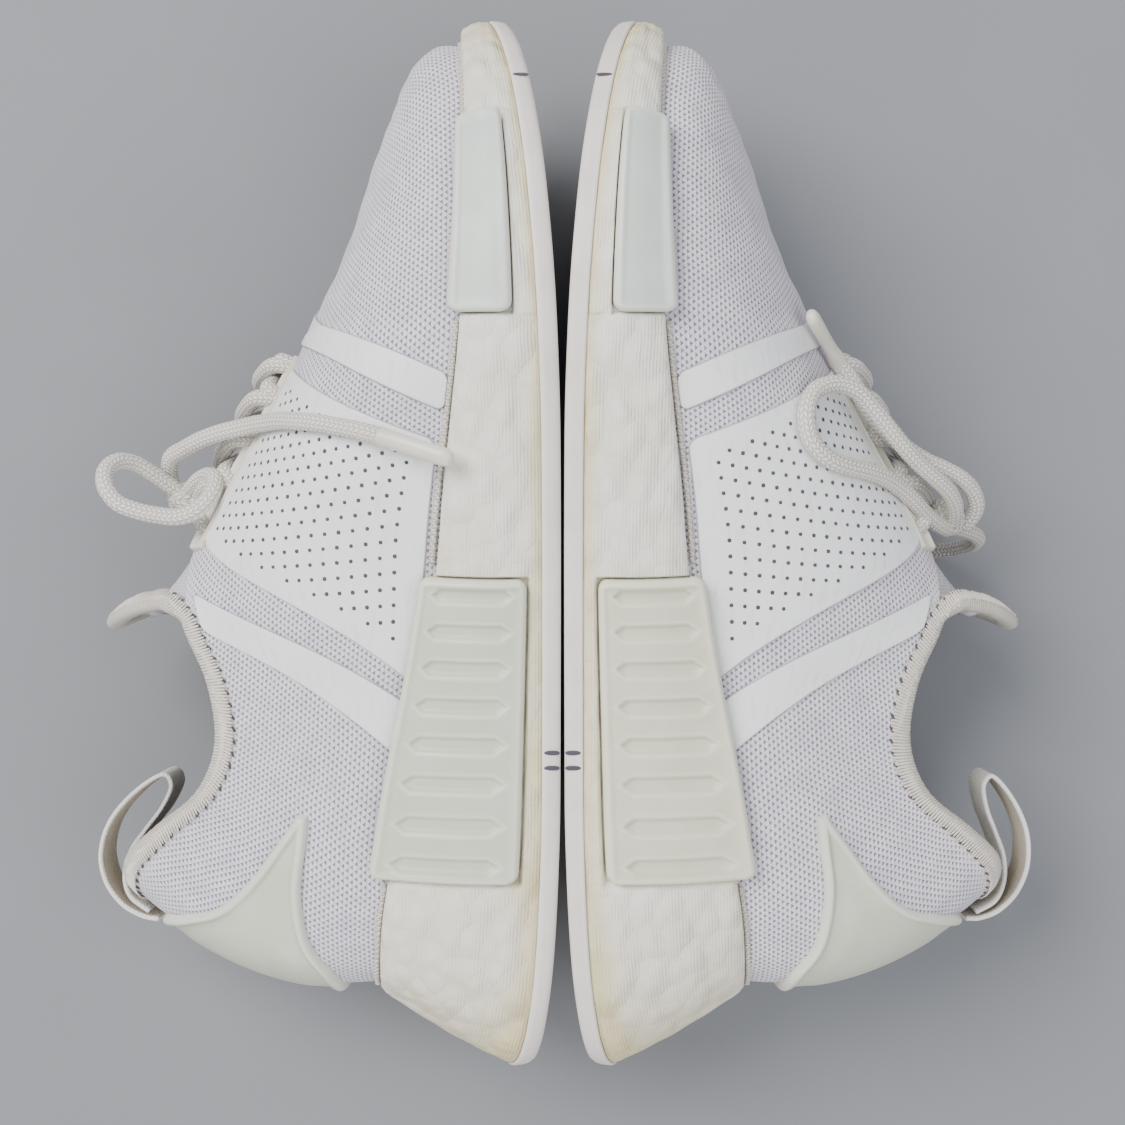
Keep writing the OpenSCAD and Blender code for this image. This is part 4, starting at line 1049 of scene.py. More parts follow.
class Scatter:
    """Sets copies of a small shape along rows of places, with Geometry Nodes."""

    def __init__(self, shape: bpy.types.Object, size: float, turn: float, seed: int, jitter: float) -> None:
        """Keeps the shape that is repeated, its scale, its turn and how much copies differ."""
        self.shape, self.size, self.turn, self.seed, self.jitter = shape, size, turn, seed, jitter

    def tree(self, material: bpy.types.Material) -> tuple[bpy.types.NodeTree, dict[str, str]]:
        """Builds the node tree.

        Args:
            material: not used.

        Returns:
            The tree and its inputs' identifiers by name.
        """
        tree = bpy.data.node_groups.new("repeat_along_places", "GeometryNodeTree")
        face = tree.interface
        face.new_socket("Geometry", in_out="INPUT", socket_type="NodeSocketGeometry")
        ids = {}
        for name, kind in (("Shape", "NodeSocketObject"), ("Size", "NodeSocketFloat"),
                           ("Jitter", "NodeSocketFloat"),
                           ("Turn", "NodeSocketFloat"), ("Seed", "NodeSocketInt"),
                           ("Finish", "NodeSocketMaterial")):
            ids[name] = face.new_socket(name, in_out="INPUT", socket_type=kind).identifier
        face.new_socket("Geometry", in_out="OUTPUT", socket_type="NodeSocketGeometry")
        new, link = tree.nodes.new, tree.links.new
        entry, leave = new("NodeGroupInput"), new("NodeGroupOutput")
        points = new("GeometryNodeMeshToPoints")
        up, along = new("GeometryNodeInputNamedAttribute"), new("GeometryNodeInputNamedAttribute")
        for node, name in ((up, "facing"), (along, "heading")):
            node.data_type = "FLOAT_VECTOR"
            node.inputs["Name"].default_value = name
        axes = new("FunctionNodeAxesToRotation")
        axes.primary_axis, axes.secondary_axis = "Z", "X"
        spin, twist = new("FunctionNodeRotateRotation"), new("FunctionNodeAxisAngleToRotation")
        spin.rotation_space = "LOCAL"
        vary, span, low = new("FunctionNodeRandomValue"), new("ShaderNodeMath"), new("ShaderNodeMath")
        span.operation, low.operation = "ADD", "SUBTRACT"
        grow = new("ShaderNodeMath")
        grow.operation = "MULTIPLY"
        copies, real, dress = new("GeometryNodeInstanceOnPoints"), new("GeometryNodeRealizeInstances"), new("GeometryNodeSetMaterial")
        shape = new("GeometryNodeObjectInfo")
        link(entry.outputs["Geometry"], points.inputs[0])
        link(entry.outputs["Shape"], shape.inputs[0])
        link(up.outputs[0], axes.inputs[0])
        link(along.outputs[0], axes.inputs[1])
        twist.inputs[0].default_value = (0, 0, 1)
        link(entry.outputs["Turn"], twist.inputs[1])
        link(axes.outputs[0], spin.inputs[0])
        link(twist.outputs[0], spin.inputs[1])
        span.inputs[0].default_value = low.inputs[0].default_value = 1.0
        link(entry.outputs["Jitter"], span.inputs[1])
        link(entry.outputs["Jitter"], low.inputs[1])
        link(low.outputs[0], vary.inputs["Min"])
        link(span.outputs[0], vary.inputs["Max"])
        link(entry.outputs["Seed"], vary.inputs["Seed"])
        link(vary.outputs[1], grow.inputs[0])
        link(entry.outputs["Size"], grow.inputs[1])
        link(points.outputs[0], copies.inputs["Points"])
        link(shape.outputs["Geometry"], copies.inputs["Instance"])
        link(spin.outputs[0], copies.inputs["Rotation"])
        link(grow.outputs[0], copies.inputs["Scale"])
        link(copies.outputs[0], real.inputs[0])
        link(real.outputs[0], dress.inputs["Geometry"])
        link(entry.outputs["Finish"], dress.inputs["Material"])
        link(dress.outputs[0], leave.inputs[0])
        return tree, ids

    def on(self, name: str, places: np.ndarray, facing: np.ndarray, heading: np.ndarray,
           material: bpy.types.Material) -> bpy.types.Object:
        """Puts a copy at each place and returns them as one plain mesh.

        Args:
            name: name of the piece.
            places: points in metres.
            facing: outward direction at each.
            heading: direction of the row at each.
            material: finish of the copies.

        Returns:
            The object.
        """
        mesh = bpy.data.meshes.new(name + "_places")
        mesh.from_pydata(places.tolist(), [], [])
        for key, rows in (("facing", facing), ("heading", heading)):
            data = mesh.attributes.new(key, "FLOAT_VECTOR", "POINT")
            data.data.foreach_set("vector", np.asarray(rows, np.float32).reshape(-1))
        obj = bpy.data.objects.new(name, mesh)
        bpy.context.scene.collection.objects.link(obj)
        tree, ids = self.tree(material)
        modifier = obj.modifiers.new("repeat", "NODES")
        modifier.node_group = tree
        for key, value in (("Shape", self.shape), ("Size", self.size), ("Jitter", self.jitter),
                           ("Turn", self.turn),
                           ("Seed", self.seed), ("Finish", material)):
            modifier[ids[key]] = value
        deps = bpy.context.evaluated_depsgraph_get()
        deps.update()
        plain = bpy.data.meshes.new_from_object(obj.evaluated_get(deps), depsgraph=deps)
        obj.modifiers.clear()
        obj.data = plain
        plain.name = name
        plain.polygons.foreach_set("use_smooth", np.ones(len(plain.polygons), bool))
        if not plain.materials:
            plain.materials.append(material)
        return obj


def bead(name: str, length: float, width: float, height: float, sides: int = 6,
         rows: int = 4) -> bpy.types.Object:
    """A small stitch lying along X that scatters copy, kept out of the scene.

    Args:
        name: its name.
        length: length in millimetres.
        width: width.
        height: height.
        sides: sides round it.
        rows: rings along it.

    Returns:
        The object.
    """
    points = [(-length / 2, 0, 0)]
    for i in range(1, rows + 1):
        t = i / (rows + 1) * math.pi
        for k in range(sides):
            a = 2 * math.pi * k / sides
            points.append((-length / 2 * math.cos(t), width / 2 * math.sin(t) ** 0.6 * math.cos(a),
                           height / 2 * math.sin(t) ** 0.6 * math.sin(a)))
    points.append((length / 2, 0, 0))
    faces = [(0, 1 + (k + 1) % sides, 1 + k) for k in range(sides)]
    for i in range(rows - 1):
        for k in range(sides):
            a, b = 1 + i * sides + k, 1 + i * sides + (k + 1) % sides
            faces.append((a, b, b + sides, a + sides))
    last = len(points) - 1
    faces += [(last, last - sides + k, last - sides + (k + 1) % sides) for k in range(sides)]
    mesh = bpy.data.meshes.new(name)
    mesh.from_pydata([tuple(c * MM for c in p) for p in points], [], faces)
    mesh.update()
    return bpy.data.objects.new(name, mesh)


def corner_pull(rim: np.ndarray, corner: float) -> np.ndarray:
    """How far a rounded corner draws a side in.

    Args:
        rim: distance from the end in millimetres.
        corner: radius of the corner.

    Returns:
        The distances from the straight side.
    """
    return np.where(rim < corner, corner - np.sqrt(np.maximum(corner ** 2 - (corner - rim) ** 2, 0)), 0)


def border_steps(length: float, fine: float, coarse: float) -> np.ndarray:
    """Shares from 0 to 1 with close steps at both ends.

    Args:
        length: length in millimetres.
        fine: first step.
        coarse: largest step.

    Returns:
        The shares.
    """
    steps, total = [], 0.0
    step = fine
    while total < length / 2:
        steps.append(step)
        total += step
        step = min(step * 1.45, coarse)
    half = np.r_[0, np.cumsum(steps)] * (0.5 / total)
    return np.unique(np.r_[half, 1 - half].round(6))


@dataclass
class ShoePart:
    """Something that belongs to one shoe and knows how to dress its pieces, attach them to its bodies and hide the
    nodes that they replace.
    """

    foot: Foot
    finish: Finishes

    @property
    def word(self) -> str:
        """Prefix of the shoe's nodes."""
        return self.foot.word

    def hand_in(self, obj: bpy.types.Object, node: Optional[str], material: Optional[bpy.types.Material],
                slot: str,
                body: str = "shoe") -> bpy.types.Object:
        """Dresses a piece, makes it ride and lets it stand for its node.

        Args:
            obj: the piece.
            node: the node that it replaces, without the shoe's prefix.
            material: its finish, if it has none yet.
            slot: not used.
            body: the body that it rides on, without the prefix.

        Returns:
            The piece.
        """
        if material is not None:
            obj.data.materials.clear()
            obj.data.materials.append(material)
        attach(obj, f"{self.word}_{body}")
        if node is not None:
            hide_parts(f"{self.word}_{node}")
        LOG.info("%s: %d faces", obj.name, len(obj.data.polygons))
        return obj

    def cover(self, cloth: Cloth, label: str, node: Optional[str], material: Optional[bpy.types.Material],
              slot: str, body: str = "shoe") -> bpy.types.Object:
        """Builds a cloth's object under the shoe's prefix and hands it in."""
        return self.hand_in(cloth.build(f"{self.word}_{label}", self.foot), node, material, slot, body)

    def normals(self, q: np.ndarray, t: np.ndarray, d: float) -> tuple[np.ndarray, np.ndarray, np.ndarray]:
        """Points, outward directions and rib directions on the upper, in the row frame.

        Args:
            q: signed stations.
            t: shares of the rib.
            d: distance outside the knit.

        Returns:
            The points in metres and two sets of directions.
        """
        p = self.foot.world(FORM.skin(q, t, d))
        up = unit(self.foot.world(FORM.skin(q, t, d + 1.0)) - p)
        rise = unit(self.foot.world(FORM.skin(q, np.minimum(t + 0.01, 1.0), d))
                    - self.foot.world(FORM.skin(q, t - 0.01, d)))
        side = unit(np.cross(rise, up))
        normal = unit(np.cross(side, rise))
        normal = np.where((np.einsum("ij,ij->i", normal, up) < 0)[:, None], -normal, normal)
        return p, normal, rise


@dataclass
class Lacing(ShoePart):
    """The round lace: its free ends, the bow's loop, the knot, the crossings and the two tips."""

    thick: float = LACE_D

    def cord(self, piece: str, route: Sequence[Sequence[float]], far_end: str,
             with_pieces: Sequence[Any]) -> bpy.types.Object:
        """Args:
            piece: node name without prefix.
            route: points of its centreline.
            far_end: not used.
            with_pieces: not used.

        Returns:
            The piece.
        """
        line = spline(route, 0.7)
        cloth = Cloth()
        cloth.tube(line, self.thick / 2, 16)
        obj = cloth.build(f"{self.word}_{piece}_braid", self.foot)
        self.hand_in(obj, piece, self.finish.lace, "lace")
        world = self.foot.world(line)
        return obj

    def tip(self, piece: str, route: Sequence[Sequence[float]], aim: Sequence[float]) -> bpy.types.Object:
        """Makes the plastic tip of a lace end: a film rolled flat.

        Args:
            piece: node name without prefix.
            route: the lace's route, whose last point starts the tip.
            aim: point that the tip is directed at.

        Returns:
            The piece.
        """
        start = np.array(route[-1], float)
        way = unit(np.array(aim, float) - start)
        u = np.linspace(0, 1, 40)
        line = start + way * (u * (AGLET_LENGTH - 0.8))[:, None] + way * 0.2
        wide = 2.5 * (1 - 0.05 * smooth(u, 0.0, 0.12) + 0.03 * np.sin(u * 9)) - 0.35 * smooth(u, 0.93, 1)
        cloth = Cloth()
        cloth.tube(line, wide, 20, 1 - 0.22 * smooth(u, 0.04, 0.3))
        return self.cover(cloth, f"{piece}_film", piece, self.finish.aglet, "aglet")

    def free_ends(self) -> None:
        """Makes the tips, then the two ends and the loop that they lie on."""
        k = self.foot.value
        lateral = self.tip("lateral_aglet", LATERAL_LACE[k], LATERAL_TIP[k])
        medial = self.tip("medial_aglet", MEDIAL_LACE[k], MEDIAL_TIP[k])
        self.cord("lateral_lace_end", LATERAL_LACE[k], "fitting", [lateral])
        self.cord("medial_lace_end", MEDIAL_LACE[k], "fitting", [medial])
        self.cord("lace_loop", LACE_LOOP[k], "object", [])

    def knot(self) -> None:
        """Makes the bow's knot: strands of lace wrapped round each other."""
        centre = np.array(KNOT[self.foot.value], float)
        cloth = Cloth()
        wraps = ((0.25, 1.1, 0.2), (1.25, 0.4, 1.6), (0.7, -0.8, 2.9), (1.5, 1.5, 0.8))
        for lean, turn, start in wraps:
            a = np.linspace(start, start + 5.6, 44)
            ring = np.stack([np.cos(a) * 3.7, np.sin(a) * 3.3, np.sin(a * 2 + lean) * 0.9], -1)
            cl, sl, ct, st = math.cos(lean), math.sin(lean), math.cos(turn), math.sin(turn)
            ring = ring @ np.array([[1, 0, 0], [0, cl, -sl], [0, sl, cl]]) @ np.array([[ct, 0, st], [0, 1, 0],
                                                                                       [-st, 0, ct]])
            cloth.tube(centre + ring, 2.35, 14)
        cloth.tube(centre + np.array([[-1.5, -1, -1], [-.8, -.4, -.4], [0, 0, 0], [.8, .4, .4], [1.5, 1, 1]]),
                   3.6, 12)
        self.cover(cloth, "lace_knot_wraps", "lace_knot", self.finish.lace, "lace")

    def crossings(self) -> None:
        """Makes the laced stretch: a bar at the front and legs that cross up to the knot."""
        lift, over = self.thick / 2 + 1.3, self.thick * 1.25
        hole = lambda side, row, up: FORM.skin(side * EYELETS[row], 0.945, up)

        def leg(side: int, row: int, far: int, far_row: int, rise: float) -> np.ndarray:
            """Points of one leg between two eyelets."""
            a, b = hole(side, row, lift), hole(far, far_row, lift)
            middle = [a + (b - a) * u + np.array([0, 0, rise * math.sin(math.pi * u)]) for u in (0.12, 0.32,
                                                                                                 0.5, 0.68,
                                                                                                 0.88)]
            return np.array([hole(side, row, -0.4)] + middle + [hole(far, far_row, -0.4)])

        cloth = Cloth()
        cloth.tube(spline(leg(MEDIAL, 0, LATERAL, 0, 1.5), 0.7), self.thick / 2, 16)
        for row in range(len(EYELETS) - 1):
            for side in (MEDIAL, LATERAL):
                cloth.tube(spline(leg(side, row, -side, row + 1, over + 1 if side > 0 else 1), 0.7),
                           self.thick / 2, 16)
        self.cover(cloth, "lace_crossings_braid", "lace_crossings", self.finish.lace,
                     "lace")


@dataclass
class Sole(ShoePart):
    """Outsole, foam and the plugs that are let into the foam."""

    wall_height: float = OUTSOLE_WALL
    pocket: float = 3.0
    proud: float = 2.4

    def stations(self) -> np.ndarray:
        """Stations from heel to toe, close at the ends and at the pockets' edges."""
        s = np.r_[np.linspace(0, 3, 34), np.linspace(3, 15, 97)[1:], np.linspace(15, 18, 42)[1:]]
        cuts = [c for row in PLUGS.values() for e in row[1:3] for c in (e - 0.03, e + 0.03)]
        return np.unique(np.r_[s, cuts].round(4))

    def pockets(self, q: np.ndarray, t: np.ndarray) -> np.ndarray:
        """1 where the foam is cut back for a plug."""
        deep = np.zeros(np.broadcast(q, t).shape)
        for side, s0, s1, t0, _ in PLUGS.values():
            deep = np.where((np.sign(q) == side) & (np.abs(q) > s0) & (np.abs(q) < s1) & (t > t0), 1.0, deep)
        return deep

    def outsole(self) -> None:
        """Makes the outsole with its flat side wall and a tread of wavy lugs."""
        s = self.stations()
        top = self.wall_height
        rows = [(0.0, top - 0.05), (0.38, top - 0.2), (0.5, top - 0.8), (0.42, 3.2), (0.25, 1.8), (-0.1, 0.7),
                (-0.7, 0.15)]

        def side(sign: int) -> np.ndarray:
            """Wall points of one side from its top down to the tread."""
            q = sign * s
            p, n, edge = FORM.plan(q), FORM.outward(q), FORM.wall_line(s)[..., 1]
            ring = []
            for o, z in rows:
                xy = p + n * (edge + o)[:, None]
                ring.append(np.concatenate([xy, (FORM.ground((p + n * edge[:, None])[:, 1]) + z)[:, None]],
                                           -1))
            return np.stack(ring, 1)

        a, b = side(LATERAL), side(MEDIAL)[:, ::-1]
        share = np.linspace(0, 1, 76)[1:-1]
        low = a[:, -1:] * (1 - share[None, :, None]) + b[:, :1] * share[None, :, None]
        x, y = low[..., 0], low[..., 1]
        wide = np.linalg.norm(a[:, -1] - b[:, 0], axis=-1)[:, None]
        rim = np.minimum(share, 1 - share)[None] * wide
        wave = (y + 3.0 * np.sin(x * 0.32) + 200) % 9.0
        groove = smooth(np.abs(wave - 4.5), 2.9, 3.6) * smooth(rim, 2.2, 3.4)
        flex = smooth(-np.abs((y - 205 + x * 0.15) % 24 - 12) + 12, -1, 1.4)
        low[..., 2] = FORM.ground(y) + 0.05 + 1.5 * np.maximum(groove, (1 - flex) * smooth(rim, 2.2, 3.4))
        over = a[:, :1] * (1 - share[None, ::-6, None]) + b[:, -1:] * share[None, ::-6, None]
        grid = rested(np.concatenate([a, low, b, over, a[:, :1]], 1))
        u, v = arc_lengths(grid, 0), arc_lengths(grid, 1)
        # edge marks the rounded top lip of the wall, which the rubber finish lightens as a painted highlight.
        edge = np.zeros(grid.shape[:2])
        edge[:, :3] = 1
        edge[:, len(rows) + len(share) + 4:len(rows) * 2 + len(share)] = 1
        cloth = Cloth()
        cloth.loft(grid, np.stack([u, v], -1), edge=edge * 0.6)
        self.cover(cloth, "outsole_rubber", "outsole", self.finish.outsole,
                     "outsole_rubber")
        self.slots()

    def slots(self) -> None:
        """Sets dark beads of painted shade where short flex slots cut the outsole's side wall."""
        q = np.array([sign * s for s in (4.95, 5.15, 15.35) for sign in (LATERAL, MEDIAL)])
        p, n, edge = FORM.plan(q), FORM.outward(q), FORM.wall_line(np.abs(q))[:, 1]
        xy = p + n * (edge + 0.42)[:, None]
        places = rested(np.concatenate([xy, (FORM.ground(xy[:, 1]) + 2.3)[:, None]], -1))
        facing = self.foot.world(np.concatenate([n, np.zeros((len(q), 1))],
                                                -1)) - self.foot.world(np.zeros(3))
        heading = np.tile(self.foot.world(np.array([0, 0, 1.0])) - self.foot.world(np.zeros(3)), (len(q), 1))
        shape = bead("slot", 4.2, 1.3, 0.5, 8, 5)
        obj = Scatter(shape, 1.0, 0.0, 3, 0.05).on(f"{self.word}_outsole_slots", self.foot.world(places),
                                                   unit(facing),
                                                   unit(heading), self.finish.vent)
        self.hand_in(obj, None, None, "outsole_rubber")
        bpy.data.objects.remove(shape)

    def midsole(self) -> None:
        """Makes the foam cup with its pockets, rounded rim and beaded wall."""
        s = self.stations()
        cuts = [c for row in PLUGS.values() for c in (row[3] - 0.012, row[3] + 0.012)]
        t = np.unique(np.r_[np.linspace(0, 0.97, 22), 0.985, 1.0, cuts].round(4))
        t = t[t <= 1]

        def side(sign: int) -> tuple[np.ndarray, np.ndarray]:
            """Wall points of one side from its foot up to the rim, and how aged each is."""
            q, k = np.meshgrid(sign * s, t, indexing="ij")
            cut = self.pockets(q, k)
            lump = 0.16 * np.sin(q * 5.1 + k * 9) * np.sin(q * 2.3 - k * 14) * (1 - cut)
            round_off = -0.9 * smooth(k, 0.955, 1.0) - 0.35 * smooth(-k, -0.03, 0.0)
            p = FORM.wall(q, k, lump + round_off * (1 - cut) - self.pocket * cut)
            end = np.maximum(smooth(-np.abs(q), -3.2, -0.2), smooth(np.abs(q), 14.5, 17.5))
            return p, np.clip(end * (0.35 + 0.65 * (1 - k)) + smooth(-k, -0.22, 0.0) * 0.75, 0, 1)

        (a, age_a), (b, age_b) = side(LATERAL), side(MEDIAL)

        def inside(q: np.ndarray, offset: float, height: Callable[[np.ndarray], np.ndarray]) -> np.ndarray:
            """Points inside the cup at an offset from the foot line."""
            p = FORM.plan(q)
            xy = p + FORM.outward(q) * offset
            return np.concatenate([xy, height(p[:, 1])[:, None]], -1)[:, None]

        lip = [inside(LATERAL * s, 1.6, lambda y: FORM.rim(y) + 0.05),
               inside(LATERAL * s, 0.3, lambda y: FORM.rim(y) - 0.1),
               inside(LATERAL * s, 0.1, FORM.bed)]
        far = [inside(MEDIAL * s, 0.1, FORM.bed), inside(MEDIAL * s, 0.3, lambda y: FORM.rim(y) - 0.1),
               inside(MEDIAL * s, 1.6, lambda y: FORM.rim(y) + 0.05)]
        share = np.linspace(0, 1, 10)[None, 1:-1, None]
        bed = lip[2] * (1 - share) + far[0] * share
        under = b[:, :1] * (1 - share) + a[:, :1] * share
        grid = rested(np.concatenate([a] + lip + [bed] + far + [b[:, ::-1], under, a[:, :1]], 1))
        u, v = arc_lengths(grid, 0), arc_lengths(grid, 1)
        u = np.broadcast_to(u[:, len(t) // 2:len(t) // 2 + 1], u.shape)
        zero = np.zeros((len(s), 1))
        age = np.concatenate([age_a, np.zeros((len(s), 3 + 8 + 3)), age_b[:, ::-1], np.zeros((len(s), 8)),
                              zero], 1)
        cloth = Cloth()
        cloth.loft(grid, np.stack([u, v], -1), age=age)
        self.cover(cloth, "midsole_foam", "midsole", self.finish.foam, "midsole_foam")

    def plug(self, piece: str) -> None:
        """Makes a moulded plug with a rolled border; the rear ones have recessed ribs.

        Args:
            piece: node name without prefix.
        """
        side, s0, s1, t0, t1 = PLUGS[piece]
        rear = "rear" in piece
        width = float(np.linalg.norm(FORM.wall(side * s1, 0.5) - FORM.wall(side * s0, 0.5)))
        height = float(np.linalg.norm(FORM.wall(side * (s0 + s1) / 2, t1) - FORM.wall(side * (s0 + s1) / 2,
                                                                                      t0)))
        i, j = border_steps(width, 0.3, 0.55 if rear else 1.2), border_steps(height, 0.3, 0.7)
        a, b = np.meshgrid(i, j, indexing="ij")
        corner = 3.2
        from_top = np.minimum(b, 1 - b) * height
        pull = corner_pull(from_top, corner)
        squeeze = 1 - 2 * pull / width
        s = s0 + 0.03 + (s1 - s0 - 0.06) * (0.5 + (a - 0.5) * squeeze)
        t = t0 + 0.02 + (t1 - t0 - 0.02) * b
        inset = np.minimum(np.minimum(a, 1 - a) * width * squeeze, from_top)
        # edge marks the rolled border, which the plug's finish lightens as a painted highlight.
        edge = 1 - smooth(inset, 1.2, 2.2)
        dome = self.proud * np.sqrt(np.clip(1 - (1 - np.clip(inset / 1.5, 0, 1)) ** 2, 0, 1))
        lift = dome - 0.55 * smooth(inset, 1.8, 2.9)
        if rear:
            rib = (s - s0) / (s1 - s0) * 8
            gap = np.abs(rib % 1.0 - 0.5) + np.maximum(np.abs(b - 0.5) - 0.29, 0) * 2.4
            lift -= 1.35 * smooth(-gap, -0.22, -0.13) * smooth(inset, 2.6, 3.2)
            # Painted highlight along the lips of the slots.
            edge = np.maximum(edge, 0.75 * smooth(-np.abs(gap - 0.25), -0.07, -0.03) * smooth(inset, 2.6,
                                                                                              3.2))
        top = FORM.wall(side * s, t, lift)
        over = (t > 1)
        deep = FORM.wall(side * s, t, 0.1 - self.pocket)
        deep[..., 0] += np.where(over, side * (self.pocket - 0.6), 0)
        pattern = np.stack([a * width, b * height], -1)
        cloth = Cloth()
        cloth.shell(rested(top), rested(deep), pattern, edge=edge)
        rear_finish = self.finish.rear_plug if self.foot is Foot.RIGHT else self.finish.rear_plug_aged
        finish = rear_finish if rear else self.finish.front_plug
        self.cover(cloth, f"{piece}_moulding", piece, finish, "sole_plug")

    def build(self) -> None:
        """Builds the whole sole."""
        self.outsole()
        self.midsole()
        for piece in PLUGS:
            self.plug(piece)


@dataclass
class Footbed(ShoePart):
    """The stitched-in board and the loose insole on it."""

    thick: float = 4.5

    def build(self) -> None:
        """Builds the insole and dresses the board, which the insole covers."""
        s = np.r_[np.linspace(0, 3, 24), np.linspace(3, 15, 60)[1:], np.linspace(15, 18, 26)[1:]]
        rows = [(0.8, 0.0), (0.1, 0.5), (0.0, 1.4), (0.0, self.thick - 1.6), (0.3, self.thick - 0.5),
                (1.3, self.thick - 0.05), (2.6, self.thick)]

        def side(sign: int) -> np.ndarray:
            """Edge points of one side from the underside up."""
            q = sign * s
            p, n = FORM.plan(q), FORM.outward(q)
            ring = [np.concatenate([p - n * (KNIT + 1.2 + o), (FORM.bed(p[:, 1]) + 2 + z)[:, None]],
                                   -1) for o, z in rows]
            return np.stack(ring, 1)

        a, b = side(LATERAL), side(MEDIAL)[:, ::-1]
        share = np.linspace(0, 1, 30)[None, 1:-1, None]
        top = a[:, -1:] * (1 - share) + b[:, :1] * share
        top[..., 2] -= 0.9 * np.sin(np.pi * share[..., 0])
        under = b[:, -1:] * (1 - share[:, ::4]) + a[:, :1] * share[:, ::4]
        grid = np.concatenate([a, top, b, under, a[:, :1]], 1)
        cloth = Cloth()
        cloth.loft(grid, np.stack([grid[..., 1], grid[..., 0]], -1))
        obj = self.cover(cloth, "insole_foam", "insole", self.finish.insole, "insole_foam")
        for node, finish in (("strobel_board", self.finish.board), ("toe_puff", self.finish.puff)):
            self.redress(node, finish)

    def redress(self, node: str, material: bpy.types.Material) -> None:
        """Gives a CAD node that nothing shows of its proper finish."""
        obj = FRAME["nodes"][f"{self.word}_{node}"]
        for place in obj.material_slots:
            place.material = material
        LOG.info("%s_%s dressed", self.word, node)


FRAME: dict[str, Any] = {}


